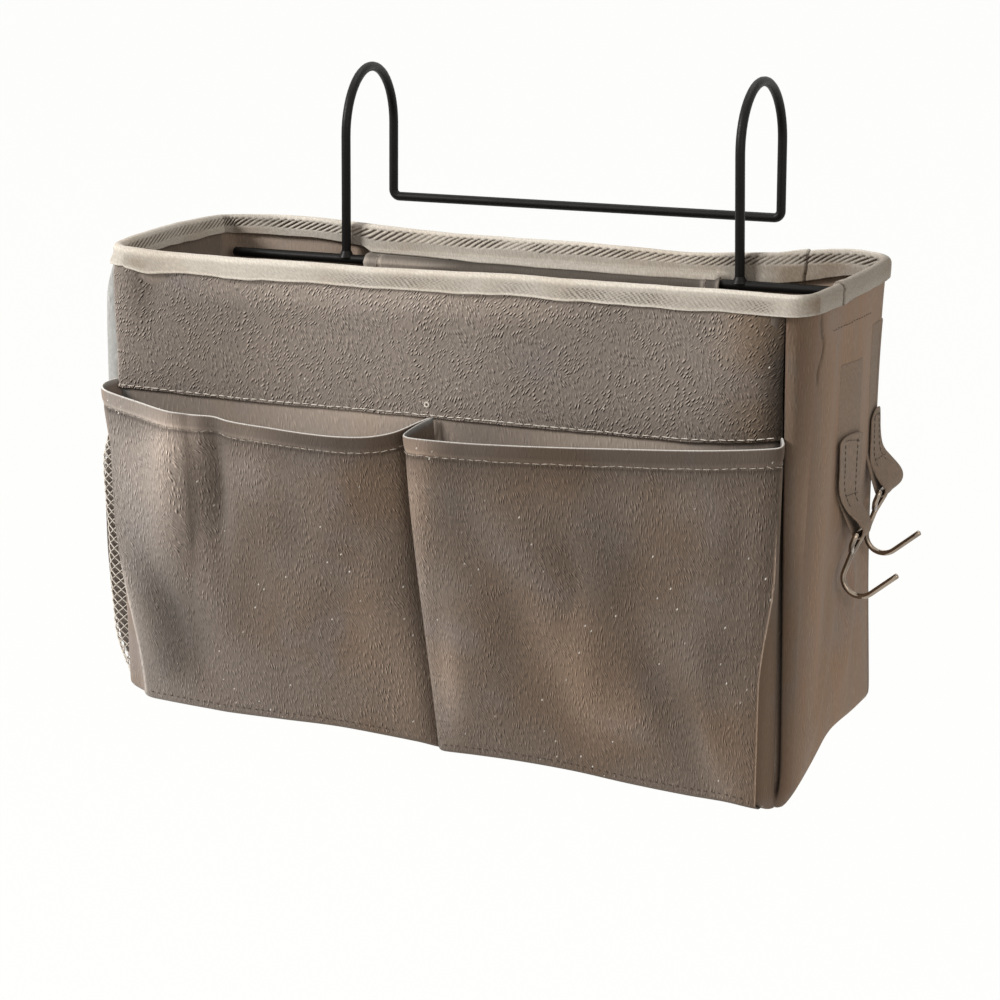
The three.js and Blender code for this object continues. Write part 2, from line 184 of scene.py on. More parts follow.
# wire bent through corners with the given bend radii, its ends rounded or flared
def wirePiece(name, corners, bends, radius, material, body, replaces, ends=(0.45, 0.45), place=None):
    corners = [Vector(c) for c in corners]
    line = [corners[0]]
    for corner, before, after, bend in zip(corners[1:], corners, corners[2:], bends):
        back, ahead = (before - corner).normalized(), (after - corner).normalized()
        turn = math.pi - back.angle(ahead)
        start = corner + back * bend * math.tan(turn / 2)
        centre = corner + (back + ahead).normalized() * bend / math.cos(turn / 2)
        axis = ahead.cross(back).normalized()
        count = max(4, round(turn / 0.12))
        line += [
            centre + Matrix.Rotation(turn * i / count, 3, axis) @ (start - centre) for i in range(count + 1)
        ]
    line.append(corners[-1])
    dense = [line[0]]
    for a, b in zip(line, line[1:]):
        count = max(1, round((b - a).length / (radius * 2.5)))
        dense += [a.lerp(b, (i + 1) / count) for i in range(count)]
    tips = (dense[0].lerp(dense[1], 0.12), dense[-1].lerp(dense[-2], 0.12))
    dense = [dense[0], tips[0], *dense[1:-1], tips[1], dense[-1]]
    curve = bpy.data.curves.new(name, "CURVE")
    curve.dimensions = "3D"
    curve.bevel_depth = radius * mm
    curve.bevel_resolution = 5
    curve.use_fill_caps = True
    spline = curve.splines.new("POLY")
    spline.points.add(len(dense) - 1)
    for point, spot in zip(spline.points, dense):
        spot = place @ spot if place else spot
        point.co = (*(spot * mm), 1)
    for i, share in ((0, ends[0]), (-1, ends[1])):
        spline.points[i].radius = share
    drawn = bpy.data.objects.new(name + "_line", curve)
    scene.collection.objects.link(drawn)
    bpy.context.view_layer.update()
    mesh = bpy.data.meshes.new_from_object(drawn.evaluated_get(bpy.context.evaluated_depsgraph_get()))
    mesh.name = name
    bpy.data.objects.remove(drawn)
    bpy.data.curves.remove(curve)
    return setPiece(name, mesh, material, body, replaces)


# a row of thread stitches on a line of (spot, outward) pairs
def stitchRow(name, line, material, pitch=3.0, length=2.2, width=0.45, sink=0.05):
    bm = bmesh.new()
    way, due = 0.0, pitch * 0.5
    for (a, outA), (b, outB) in zip(line, line[1:]):
        a, b = Vector(a), Vector(b)
        span = (b - a).length
        while span > 0 and due <= way + span:
            t = (due - way) / span
            out = Vector(outA).lerp(Vector(outB), t).normalized()
            along = (b - a).normalized()
            side = out.cross(along).normalized()
            tilt = 0.12 * ripple(due, 0.5, 3.3)
            along = (along + side * tilt).normalized()
            side = out.cross(along).normalized()
            spot = a.lerp(b, t) + out * (width / 2 - sink)
            turn = Matrix((along, side, out)).transposed().to_4x4()
            long = length * (0.5 + 0.16 * ripple(due / 7, 0.9, 6.2))
            size = Matrix.Diagonal((long * mm, width / 2 * mm, width / 2 * mm, 1))
            where = Matrix.Translation(spot * mm)
            bmesh.ops.create_uvsphere(bm, u_segments=6, v_segments=5, radius=1, matrix=where @ turn @ size)
            due += pitch * (1 + 0.22 * ripple(due / 5, 0.1, 8.8))
        way += span
    return makePiece(name, bm, material)


# materials

def plug(tree, socket, value):
    if isinstance(value, bpy.types.NodeSocket):
        tree.links.new(value, socket)
    else:
        socket.default_value = value


def addNode(tree, kind, settings=None, **inputs):
    made = tree.nodes.new(kind)
    for key, value in (settings or {}).items():
        setattr(made, key, value)
    for key, value in inputs.items():
        plug(tree, made.inputs[key.replace("_", " ")], value)
    return made


def mixColour(tree, share, first, second, mode="MIX"):
    made = addNode(tree, "ShaderNodeMix", {"data_type": "RGBA", "blend_type": mode})
    for place, value in zip((0, 6, 7), (share, first, second)):
        plug(tree, made.inputs[place], value)
    return made.outputs[2]


def mixValue(tree, share, first, second):
    made = addNode(tree, "ShaderNodeMix")
    for place, value in zip((0, 2, 3), (share, first, second)):
        plug(tree, made.inputs[place], value)
    return made.outputs[0]


def mathNode(tree, operation, *values):
    made = addNode(tree, "ShaderNodeMath", {"operation": operation})
    for socket, value in zip(made.inputs, values):
        plug(tree, socket, value)
    return made.outputs[0]


def noiseOf(tree, vector, scale, detail, **more):
    return addNode(
        tree, "ShaderNodeTexNoise", Vector=vector, Scale=scale, Detail=detail, **more
    ).outputs["Fac"]


# a pattern's coordinates, turned and stretched to cells of the given size
def stretched(tree, vector, turn, size, shift=0.0):
    scale = (size[0] * mm, size[1] * mm, 1)
    settings = {"vector_type": "TEXTURE"}
    made = addNode(
        tree, "ShaderNodeMapping", settings, Vector=vector, Location=(shift, shift, 0), Scale=scale
    )
    made.inputs["Rotation"].default_value = (0, 0, turn)
    return made.outputs[0]


def markOf(tree, name):
    return addNode(tree, "ShaderNodeAttribute", {"attribute_name": name}).outputs["Fac"]


def cellsOf(tree, vector):
    cells = addNode(tree, "ShaderNodeTexVoronoi", {"voronoi_dimensions": "2D"}, Vector=vector, Scale=1.0)
    pick = addNode(tree, "ShaderNodeSeparateColor", Color=cells.outputs["Color"])
    return cells.outputs["Distance"], pick.outputs


def setShader(shader, **values):
    for key, value in values.items():
        shader.inputs[key.replace("_", " ")].default_value = value


def ramp(tree, value, low, high, dark=0.0, light=1.0):
    made = addNode(tree, "ShaderNodeMapRange", {"interpolation_type": "SMOOTHSTEP"}, Value=value)
    for key, number in (("From Min", low), ("From Max", high), ("To Min", dark), ("To Max", light)):
        made.inputs[key].default_value = number
    return made.outputs["Result"]


def newMaterial(name):
    material = bpy.data.materials.new(name)
    material.use_nodes = True
    tree = material.node_tree
    return material, tree, tree.nodes["Principled BSDF"]


# raised: how far, in mm, the strokes' painted highlight and painted shade are shifted
canvasLook = dict(
    cool=(0.208, 0.188, 0.186, 1), pale=(0.40, 0.395, 0.38, 1), brownTint=(0.27, 0.158, 0.105, 1),
    fleck=(0.72, 0.68, 0.62, 1), thread=(0.5, 2.6), streak=(6.0, 55.0), slub=(3.0, 5.4), raised=0.13,
    roughness=0.95, sheen=0.06,
)


# short raised threads: one stroke in each cell of a stretched pattern, all leaning one way;
# gives the stroke itself and its painted emboss: painted highlight on its upper left edge minus painted shade
# on its lower right edge
def strokeLayer(tree, cloth, lean, size, seed):
    edges = []
    for shift in (canvasLook["raised"] * mm, -canvasLook["raised"] * mm):
        moved = addNode(tree, "ShaderNodeVectorMath", {"operation": "ADD"})
        tree.links.new(cloth, moved.inputs[0])
        moved.inputs[1].default_value = (shift, -shift, 0)
        distance, pick = cellsOf(tree, stretched(tree, moved.outputs[0], lean, size, seed))
        body = ramp(tree, distance, 0.1, 0.46, 1.0, 0.0)
        edges.append(mathNode(tree, "MULTIPLY", body, ramp(tree, pick[0], 0.1, 1.0, 0.1, 1.0)))
    return edges[0], mathNode(tree, "SUBTRACT", edges[0], edges[1])


# canvas: short raised strokes in two leanings, fine threads, broad warm and cool patches
# and pale slubs; marked pieces carry their own warmth and roughness of weave, and a tone of painted light and
# shade
def canvasMaterial(
    name, grey, warm, strokes, strokeDepth, threadDepth, warmth, flecks, leans=(0.0, 0.5), marked=False,
    streaks=0.0,
):
    material, tree, shader = newMaterial(name)
    coords = addNode(tree, "ShaderNodeTexCoord")
    cloth, whole = coords.outputs["UV"], coords.outputs["Object"]
    bend = addNode(tree, "ShaderNodeTexNoise", Vector=whole, Scale=90.0, Detail=1.0)
    bent = addNode(tree, "ShaderNodeVectorMath", {"operation": "MULTIPLY_ADD"})
    tree.links.new(bend.outputs["Color"], bent.inputs[0])
    bent.inputs[1].default_value = (0.004, 0.004, 0)
    tree.links.new(cloth, bent.inputs[2])
    first, second = (
        strokeLayer(tree, bent.outputs[0], lean, strokes, seed) for lean, seed in zip(leans, (0.0, 0.37))
    )
    swayed = ramp(tree, noiseOf(tree, whole, 60.0, 1.0), 0.47, 0.58)
    pebble, paintedEmboss = mixValue(tree, swayed, first[0], second[0]), mixValue(tree, swayed, first[1], second[1])
    threads = stretched(tree, cloth, leans[0] * 0.4, canvasLook["thread"])
    fibre = ramp(tree, noiseOf(tree, threads, 1.0, 3.0, Roughness=0.65), 0.3, 0.7)
    warmShare = ramp(tree, noiseOf(tree, whole, 19.0, 2.0, Roughness=0.5), 0.40, 0.66, 0.0, warmth)
    if marked:
        calm, own = markOf(tree, "weave"), markOf(tree, "warm")
        pebble, fibre = mixValue(tree, calm, 0.3, pebble), mixValue(tree, calm, 0.5, fibre)
        paintedEmboss = mathNode(tree, "MULTIPLY", calm, paintedEmboss)
        warmShare = ramp(tree, mathNode(tree, "ADD", warmShare, own), 0.0, 1.0)
    colour = mixColour(tree, warmShare, grey, warm)
    bloom = noiseOf(tree, whole, 33.0, 1.0, Distortion=0.4)
    coolShare = ramp(tree, bloom, 0.55, 0.78, 0.0, 0.45 * (1 - warmth))
    colour = mixColour(tree, coolShare, colour, canvasLook["cool"])
    if streaks:
        streak = noiseOf(tree, stretched(tree, cloth, 0.06, canvasLook["streak"]), 1.0, 4.0, Roughness=0.6)
        brownTint = ramp(tree, streak, 0.46, 0.66, 0.0, streaks)
        brownTint = mathNode(tree, "MULTIPLY", brownTint, ramp(tree, own, 0.2, 0.7))
        colour = mixColour(tree, brownTint, colour, canvasLook["brownTint"])
        coolStreak = ramp(tree, streak, 0.32, 0.46, 0.5 * streaks, 0.0)
        colour = mixColour(tree, coolStreak, colour, canvasLook["cool"])
    # a warmth below zero mixes in the pale colour, which the pockets' folded hem tops and the left wall's
    # upper front corner use as painted light
    if marked:
        colour = mixColour(tree, ramp(tree, own, -1.0, 0.0, 1.0, 0.0), colour, canvasLook["pale"])
    # the strokes' painted emboss adds painted highlight and painted shade to the colour
    shade = mathNode(tree, "MULTIPLY_ADD", pebble, 0.34 * strokeDepth, 1 - 0.13 * strokeDepth)
    shade = mathNode(tree, "ADD", shade, mathNode(tree, "MULTIPLY", paintedEmboss, 1.25 * strokeDepth))
    threaded = mathNode(tree, "MULTIPLY_ADD", fibre, 0.6 * threadDepth, 1 - 0.3 * threadDepth)
    shade = mathNode(tree, "MULTIPLY", shade, threaded)
    # the tone mark holds painted light and shade
    if marked:
        shade = mathNode(tree, "MULTIPLY", shade, markOf(tree, "tone"))
    colour = mixColour(tree, 1.0, colour, shade, "MULTIPLY")
    distance, pick = cellsOf(tree, stretched(tree, cloth, -0.5, canvasLook["slub"]))
    chosen = ramp(tree, pick[0], 1 - flecks, 1 - flecks + 0.005)
    slub = mathNode(tree, "MULTIPLY", chosen, ramp(tree, distance, 0.05, 0.12, 1.0, 0.0))
    slub = mathNode(tree, "MULTIPLY", slub, ramp(tree, pick[1], 0.0, 1.0, 0.15, 0.9))
    colour = mixColour(tree, slub, colour, canvasLook["fleck"])
    tree.links.new(colour, shader.inputs["Base Color"])
    bumps = ((0.9 * strokeDepth, 0.0006, pebble), (0.6 * threadDepth, 0.0004, fibre), (0.5, 0.0006, slub))
    normal = None
    for strength, distance, height in bumps:
        bump = addNode(tree, "ShaderNodeBump", Strength=min(strength, 1.0), Distance=distance, Height=height)
        if normal:
            tree.links.new(normal, bump.inputs["Normal"])
        normal = bump.outputs[0]
    tree.links.new(normal, shader.inputs["Normal"])
    setShader(
        shader, Roughness=canvasLook["roughness"], Sheen_Weight=canvasLook["sheen"], Sheen_Roughness=0.5
    )
    setShader(shader, Specular_IOR_Level=0.2)
    return material


bandCanvas = canvasMaterial(
    "band canvas", grey=(0.22, 0.186, 0.16, 1), warm=(0.178, 0.13, 0.093, 1), strokes=(0.85, 2.6),
    strokeDepth=1.0, threadDepth=0.6, warmth=0.2, flecks=0.03, leans=(-0.6, 0.5), marked=True,
)
pocketCanvas = canvasMaterial(
    "pocket canvas", grey=(0.192, 0.157, 0.133, 1), warm=(0.156, 0.11, 0.078, 1), strokes=(0.75, 3.2),
    strokeDepth=0.75, threadDepth=0.6, warmth=0.35, flecks=0.05, leans=(0.12, 0.45), marked=True,
)
sideCanvas = canvasMaterial(
    "side canvas", grey=(0.25, 0.208, 0.175, 1), warm=(0.24, 0.168, 0.117, 1), strokes=(1.2, 5.0),
    strokeDepth=0.22, threadDepth=0.3, warmth=0.3, flecks=0.01, leans=(0.05, 0.3), marked=True, streaks=0.4,
)
strapCanvas = canvasMaterial(
    "strap canvas", grey=(0.275, 0.212, 0.163, 1), warm=(0.26, 0.19, 0.138, 1), strokes=(1.0, 2.4),
    strokeDepth=0.2, threadDepth=0.5, warmth=0.5, flecks=0.0,
)
liningCanvas = canvasMaterial(
    "lining canvas", grey=(0.27, 0.235, 0.20, 1), warm=(0.24, 0.195, 0.155, 1), strokes=(1.0, 3.0),
    strokeDepth=0.2, threadDepth=0.5, warmth=0.3, flecks=0.0, leans=(0.0, 0.2), marked=True,
)

# brown is the painted shade of the twill grooves and lap lines; the reddish brown is the colour of painted
# shade where the tone mark is low; dusk is the colour of random grime
tapeLook = dict(
    light=(0.70, 0.645, 0.565, 1), brown=(0.045, 0.03, 0.02, 1), dusk=(0.55, 0.475, 0.385, 1),
    brownTint=(0.30, 0.215, 0.14, 1), twill=(0.4, 1.7), roughness=0.9,
)


# twill tape: rib is 1 on the cloth and falls to 0 in the twill grooves, which are painted dark as shade; a
# low tone is painted shade, browner and darker
def tapeMaterial():
    material, tree, shader = newMaterial("twill tape")
    coords = addNode(tree, "ShaderNodeTexCoord")
    rib, worn = markOf(tree, "rib"), markOf(tree, "tone")
    twill = noiseOf(tree, stretched(tree, coords.outputs["UV"], 0.75, tapeLook["twill"]), 1.0, 2.0)
    grime = ramp(tree, noiseOf(tree, coords.outputs["Object"], 34.0, 3.0), 0.42, 0.72, 0.0, 0.6)
    colour = mixColour(tree, grime, tapeLook["light"], tapeLook["dusk"])
    # painted shade: where the tone mark is low, the colour turns reddish brown and darker
    colour = mixColour(tree, ramp(tree, worn, 0.4, 0.9, 0.75, 0.0), colour, tapeLook["brownTint"])
    colour = mixColour(tree, 1.0, colour, ramp(tree, worn, 0.9, 1.0, 0.68, 1.0), "MULTIPLY")
    # painted shade in the twill grooves and on the lap lines
    colour = mixColour(tree, ramp(tree, rib, 0.0, 1.0, 0.95, 0.0), colour, tapeLook["brown"])
    tone = ramp(tree, twill, 0.35, 0.68, 0.84, 1.08)
    colour = mixColour(tree, 1.0, colour, tone, "MULTIPLY")
    tree.links.new(colour, shader.inputs["Base Color"])
    bump = addNode(tree, "ShaderNodeBump", Strength=0.5, Distance=0.0005, Height=twill)
    tree.links.new(bump.outputs[0], shader.inputs["Normal"])
    setShader(shader, Roughness=tapeLook["roughness"], Sheen_Weight=0.06, Specular_IOR_Level=0.2)
    return material


def yarnMaterial(name, pale, dark, scale):
    material, tree, shader = newMaterial(name)
    coords = addNode(tree, "ShaderNodeTexCoord")
    fibre = noiseOf(tree, coords.outputs["Object"], scale, 3.0)
    colour = mixColour(tree, ramp(tree, fibre, 0.35, 0.7), dark, pale)
    tree.links.new(colour, shader.inputs["Base Color"])
    bump = addNode(tree, "ShaderNodeBump", Strength=0.4, Distance=0.0003, Height=fibre)
    tree.links.new(bump.outputs[0], shader.inputs["Normal"])
    setShader(shader, Roughness=0.85, Specular_IOR_Level=0.25)
    return material


def metalMaterial(name, base, metallic, roughness, grain, worn=0.72):
    material, tree, shader = newMaterial(name)
    coords = addNode(tree, "ShaderNodeTexCoord")
    speck = noiseOf(tree, coords.outputs["Object"], grain, 4.0)
    wear = ramp(tree, noiseOf(tree, coords.outputs["Object"], 90.0, 2.0), 0.4, 0.75)
    tint = tuple(c * worn for c in base[:3]) + (1,)
    tree.links.new(mixColour(tree, wear, base, tint), shader.inputs["Base Color"])
    rough = ramp(tree, speck, 0.3, 0.7, roughness * 0.8, roughness * 1.25)
    tree.links.new(rough, shader.inputs["Roughness"])
    bump = addNode(tree, "ShaderNodeBump", Strength=0.12, Distance=0.0002, Height=speck)
    tree.links.new(bump.outputs[0], shader.inputs["Normal"])
    setShader(shader, Metallic=metallic)
    return material


twillTape = tapeMaterial()
netYarn = yarnMaterial("net yarn", (0.74, 0.69, 0.62, 1), (0.56, 0.5, 0.43, 1), 900.0)
paleThread = yarnMaterial("pale thread", (0.80, 0.75, 0.68, 1), (0.50, 0.45, 0.39, 1), 1500.0)
seamThread = yarnMaterial("seam thread", (0.52, 0.465, 0.40, 1), (0.27, 0.23, 0.19, 1), 1500.0)
darkThread = yarnMaterial("dark thread", (0.105, 0.084, 0.066, 1), (0.055, 0.044, 0.035, 1), 1500.0)
greyBoard = yarnMaterial("lined board", (0.26, 0.215, 0.175, 1), (0.19, 0.155, 0.125, 1), 400.0)
blackCoat = metalMaterial("black powder coat", (0.006, 0.0055, 0.005, 1), 0.0, 0.45, 1600.0)
setShader(blackCoat.node_tree.nodes["Principled BSDF"], Specular_IOR_Level=0.16)
nickel = metalMaterial("nickel plate", (0.34, 0.275, 0.215, 1), 1.0, 0.12, 700.0, 0.3)
print("materials ready")


# how the soft bag hangs: each upright edge's x and z shift at the rim, then at the base
bagHang = dict(
    frontLeft=(-3.0, 2.0, 0.0, -2.0), backLeft=(-2.5, 1.0, 0.0, 3.0), frontRight=(-1.5, -1.2, 0.0),
    backRight=(2.8, 0.0, 9.0),
    frontDip=-0.8, backDip=-2.0, leftRise=1.6, half=147.5, depth=50.0, height=185.0,
    rightFoot=(
        (-52, -17.2), (-46, -17.0), (-39, -16.2), (-32, -14.0), (-22, -10.0), (-12, -5.2), (-2, 0.2),
        (8, 1.4), (26, 1.7), (46, 3.4), (54, 4.0),
    ),
    # levels of painted light along x on the front strip below the band, falling to painted shade at its right
    # end
    frontPaintedLight=(
        (-143, 0.82), (-105, 1.0), (-70, 1.5), (-32, 1.8), (-9, 1.5), (3, 0.85), (22, 0.9), (50, 1.35),
        (90, 1.5), (112, 1.05), (126, 0.55), (136, 0.5),
    ),
    frontWave=(
        (-150, -0.5), (-138, -1.3), (-120, -1.9), (-105, -1.8), (-87, -1.3), (-60, -1.0), (-22, -0.7),
        (5, 0.3), (21, 0.9), (63, 0.8), (105, 1.1), (130, 0.9), (150, 0.3),
    ),
    backWave=(
        (-150, -0.8), (-128, 2.0), (-92, 2.4), (-56, 0.3), (8, 0.2), (43, -0.5), (66, -2.0), (94, 0.4),
        (112, 0.6), (128, 4.8), (136, 3.4), (150, -0.8),
    ),
)


def hang(x, y, z):
    a = clamp((x / bagHang["half"] + 1) / 2)
    b = clamp((y / bagHang["depth"] + 1) / 2)
    c = clamp(z / bagHang["height"])
    edges = []
    corners = (bagHang[k][:3] for k in ("frontLeft", "frontRight", "backLeft", "backRight"))
    for fl, fr, bl, br in zip(*corners):
        edges.append(mix(mix(fl, fr, a), mix(bl, br, a), b))
    foot = mix(mix(bagHang["frontLeft"][3], bagHang["backLeft"][3], b), follow(bagHang["rightFoot"], y), a)
    dip = mix(bagHang["frontDip"], bagHang["backDip"], b) * (1 - (2 * a - 1) ** 2)
    dip += bagHang["leftRise"] * (1 - a) ** 3 * (1 - (2 * b - 1) ** 2)
    dip += follow(bagHang["backWave"], x, 12) * ease(0.8, 1, b)
    dip += follow(bagHang["frontWave"], x, 12) * (1 - ease(0, 0.2, b))
    x += edges[0] * c * c + edges[2] * (1 - c) ** 2
    return Vector((x, y, z + edges[1] * c + foot * (1 - c) ** 1.8 + dip * c ** 3))


# the bag's plan: a ring from the middle of the back, round by the left, the front and the right
def ringParts(half, front, back, radii):
    bl, fl, fr, br = radii
    return (
        ((0, back), (-half + bl, back)),
        ((-half + bl, back - bl), bl, 90),
        ((-half, back - bl), (-half, front + fl)),
        ((-half + fl, front + fl), fl, 180),
        ((-half + fl, front), (half - fr, front)),
        ((half - fr, front + fr), fr, 270),
        ((half, front + fr), (half, back - br)),
        ((half - br, back - br), br, 0),
        ((half - br, back), (0, back)),
    )


def partLength(part):
    return (Vector(part[1]) - Vector(part[0])).length if len(part) == 2 else part[1] * math.pi / 2


def ringSpots(parts, spacings):
    spots, lengths, way = [], [], 0.0
    for i, (part, spacing) in enumerate(zip(parts, spacings)):
        length = partLength(part)
        count = max(2, round(length / spacing))
        for j in range(count):
            spots.append((i, j / count))
            lengths.append(way + length * j / count)
        way += length
    return spots + [(len(parts) - 1, 1.0)], lengths + [way]


def ringPoint(parts, spot):
    part, t = parts[spot[0]], spot[1]
    if len(part) == 2:
        a, b = Vector(part[0]), Vector(part[1])
        along = (b - a).normalized()
        return a.lerp(b, t), Vector((along.y, -along.x))
    angle = math.radians(part[2] + 90 * t)
    out = Vector((math.cos(angle), math.sin(angle)))
    return Vector(part[0]) + out * part[1], out


# bag shell: walls and base in one lofted shell
bagShape = dict(
    hookRoom=((4.0, 66.0, 13.0, 4.4), (35.0, 75.0, 8.0, 2.9)), sideRun=80.0, frontRun=270.0,
    sideFolds=(
        (1.8, -0.45, 30, 24, 5, 36, 30), (-1.6, -0.45, 30, 36, 6, 42, 30), (1.2, -0.3, 30, 50, 5, 46, 24),
        (-1.0, -0.3, 30, 60, 6, 40, 26),
    ),
    halfTop=146.2, halfBase=139.0, front=-46.9, back=48.7, top=183.4, radii=(7, 3.5, 7),
    seam=((0, 134.4), (6, 135.6), (14, 136.4), (40, 136.2), (100, 135.6), (185, 135.6)), cloth=1.3,
    edge=5.0,
    spacing=(6, 1.5, 2.0, 1.2, 2.0, 0.5, 0.9, 1.5, 6), rise=2.4,
    groove=3.2, grooveWidth=0.6, cornerPuff=1.4, sidePuff=2.0, backPuff=1.5, recess=2.6,
    leftPuff=(
        (0, 0), (6, 5), (14, 9.5), (24, 13), (40, 15.2), (60, 15.4), (85, 14.4), (98, 12.6), (112, 9.6),
        (128, 8.6), (150, 7.0), (166, 5.2), (173, 3.0), (179, 0),
    ),
)


def halfWidth(z):
    return mix(bagShape["halfBase"], bagShape["halfTop"], clamp(z / bagHang["height"]))


def cornerRadii(z):
    rearLeft, frontLeft, rearRight = bagShape["radii"]
    return rearLeft, frontLeft, halfWidth(z) - follow(bagShape["seam"], z, 3), rearRight


# folds of the right side: y counts from the front seam
def sideFolds(y, z):
    low = 1 - ease(96, 120, z)
    out = 1.5 * bell(y, 15, 6) - 1.3 * bell(y, 31, 8) * ease(20, 60, z) + 0.8 * bell(y, 50, 9)
    out += low * foldSum(bagShape["sideFolds"], y, z)
    return out * (1 - ease(150, 170, z)) * ease(4, 24, z)


# a sharp crease below the tape, beside the corner seam
def sideCrease(y, z):
    line = 3.2 + 4.6 * bell(z, 164, 5.5) + 0.8 * ripple(z / 4, 0.2, 5.1)
    return bell(y, line, 0.85) * ease(149, 154, z) * (1 - ease(175, 177, z))


# the left wall stands out behind the net, most towards the front
def leftBulge(t, z):
    return follow(bagShape["leftPuff"], z, 4) * (0.25 + 0.75 * ease(0.0, 0.75, t))


def seamGroove(away, width, z):
    return bell(away, 0, width) * ease(1, 9, z)


def wallBulge(part, t, z):
    rim = bagHang["height"]
    tall = math.sin(math.pi * clamp(z / rim)) ** 0.7 if 0 < z < rim else 0.0
    groove = bagShape["groove"] * (1 - ease(172, 180, z))
    calm = 1 - ease(158, 175, z)
    out = 0.0
    if part == 5:
        arc = t * cornerRadii(z)[2] * math.pi / 2
        out += bagShape["cornerPuff"] * bell(arc, 4.5, 3.0) * calm
        out -= groove * seamGroove(arc, bagShape["grooveWidth"], z)
    if part == 4:
        out -= groove * seamGroove((1 - t) * bagShape["frontRun"], bagShape["grooveWidth"], z)
        recess = bagShape["recess"] * ease(131, 137, z) * (1 - ease(164, 173, z))
        out += (1.3 * ease(167, 174, z) - recess) * ease(0, 0.02, t)
    if part == 6:
        y = t * bagShape["sideRun"]
        out += bagShape["sidePuff"] * math.sin(math.pi * t) * tall
        out += sideFolds(y, z) * ease(0, 8, y) - 1.3 * sideCrease(y, z)
        along = mix(bagShape["front"] + cornerRadii(z)[2], bagShape["back"] - cornerRadii(z)[3], t)
        for middle, height, wide, deep in bagShape["hookRoom"]:
            out -= deep * bell(along, middle, wide) * bell(z, height, 15) * (1 - ease(0.94, 1, t))
    if part == 2:
        out += leftBulge(t, z)
    if part in (0, 8):
        out += bagShape["backPuff"] * tall
    way = part * 61.0 + t * 90
    join = {0: ease(0, 0.3, t), 5: 0.0, 8: 1 - ease(0.7, 1, t)}.get(part, 1.0)
    waves = 0.6 * ripple(way / 36, z / 52, 3.1) + 0.3 * ripple(way / 13, z / 60, 8.4)
    return out + calm * join * waves * ease(0, 12, z)


def shellPoint(spot, row):
    kind, value = row
    if kind == "base":
        half = bagShape["halfBase"] - bagShape["edge"]
        parts = ringParts(
            half, bagShape["front"] + bagShape["edge"], bagShape["back"] - bagShape["edge"], (4, 4, 3, 4)
        )
        at, _ = ringPoint(parts, spot)
        return hang(at.x * value, at.y * value + 0.9 * (1 - value), 0)
    if kind == "edge":
        z = bagShape["edge"] * (1 - math.cos(value))
        out = bagShape["edge"] * (math.sin(value) - 1)
    else:
        z, out = value, wallBulge(*spot, value)
    parts = ringParts(halfWidth(z), bagShape["front"], bagShape["back"], cornerRadii(z))
    at, normal = ringPoint(parts, spot)
    at = at + normal * out
    if spot[0] == 3:
        at.x -= leftBulge(1, z) * (1 - ease(0.3, 1, spot[1])) * (1 if kind == "wall" else 0)
    return hang(at.x, at.y, z)


# painted light and shade on the shell: painted shade in the corner seam grooves and in the crease on the
# right side; painted light on the front strip below the band, by the listed levels along x, falling to
# painted shade at its right end; painted shade low on the left wall behind the net near its front corner, and
# beside the band's left edge; painted shade on the front right corner, least around mid height; on the right
# side painted shade near its front seam and lighter on a patch near the rear; elsewhere lighter near the top
def shellPaintedLight(spot, row):
    part, t = spot
    z = row[1] if row[0] == "wall" else 0.0
    if part == 4:
        seam = 1 - 0.92 * seamGroove((1 - t) * bagShape["frontRun"], 1.8, z)
        strip = follow(bagHang["frontPaintedLight"], mix(-143, 136, t), 10)
        return seam * mix(1.2, strip, ease(104, 116, z))
    if part in (2, 3):
        corner = ease(0.75, 1, t) if part == 2 else 1.0
        above = 1.0 - (0.55 * ease(0.35, 1, t) if part == 3 else 0)
        return mix(1.1, mix(0.42, above, ease(112, 130, z)), corner)
    if part == 5:
        arc = t * cornerRadii(z)[2] * math.pi / 2
        lit = mix(0.56, 0.84, ease(0.2, 1, t)) * (1 + 0.3 * bell(z, 105, 22))
        return lit * (1 - 0.9 * seamGroove(arc, 0.85, z))
    if part == 6:
        y = t * bagShape["sideRun"]
        lit = 0.86 + 0.42 * ease(0, 16, y) + 0.1 * bell(y, 62, 16) * ease(90, 140, z)
        return (1 - 0.8 * sideCrease(y, z)) * lit
    return 0.85 + 0.5 * ease(150, 165, z)


# the left wall's upper front corner is pale, part of its painted light; the right corner and side are warmer
def shellWarmth(spot, row):
    z = row[1] if row[0] == "wall" else 0.0
    pale = -ease(110, 128, z)
    part, t = spot
    own = {2: pale * ease(0.86, 1, t), 3: pale, 4: 0.0, 5: 0.85, 6: 0.8 - 0.3 * ease(0.5, 1, t)}
    return own.get(part, 0.3)


def makeShell():
    parts = ringParts(
        bagShape["halfTop"], bagShape["front"], bagShape["back"], cornerRadii(bagHang["height"])
    )
    spots, lengths = ringSpots(parts, bagShape["spacing"])
    rows = [("base", s) for s in (0, 0.3, 0.6, 0.85)]
    rows += [("edge", math.pi / 2 * i / 5) for i in range(6)]
    rows += [("wall", z) for z in steps(bagShape["edge"], bagShape["top"], bagShape["rise"])[1:]]
    heights = [-60 + 60 * v if k == "base" else v * 5 if k == "edge" else v for k, v in rows]
    marks = {"tone": shellPaintedLight, "warm": shellWarmth, "weave": lambda spot, row: 1.0}
    bm = clothGrid(spots, rows, shellPoint, lengths, heights, True, marks)
    shell = makePiece(
        "bag_shell", bm, sideCanvas,
        replaces=("base_panel", "front_lower_panel", "back_panel", "left_side_panel", "right_side_panel"),
    )
    thicken(shell, bagShape["cloth"])
    line = []
    for t in steps(0.2, 0.8, 0.02):
        z = mix(168.4, 166.6, t) + 0.3 * ripple(t * 30, 0.4, 2.2)
        line.append((shellPoint((6, t), ("wall", z)), (1, 0, 0)))
    thread = stitchRow("side_stitches", line, darkThread, pitch=2.9, length=1.9, width=0.3)


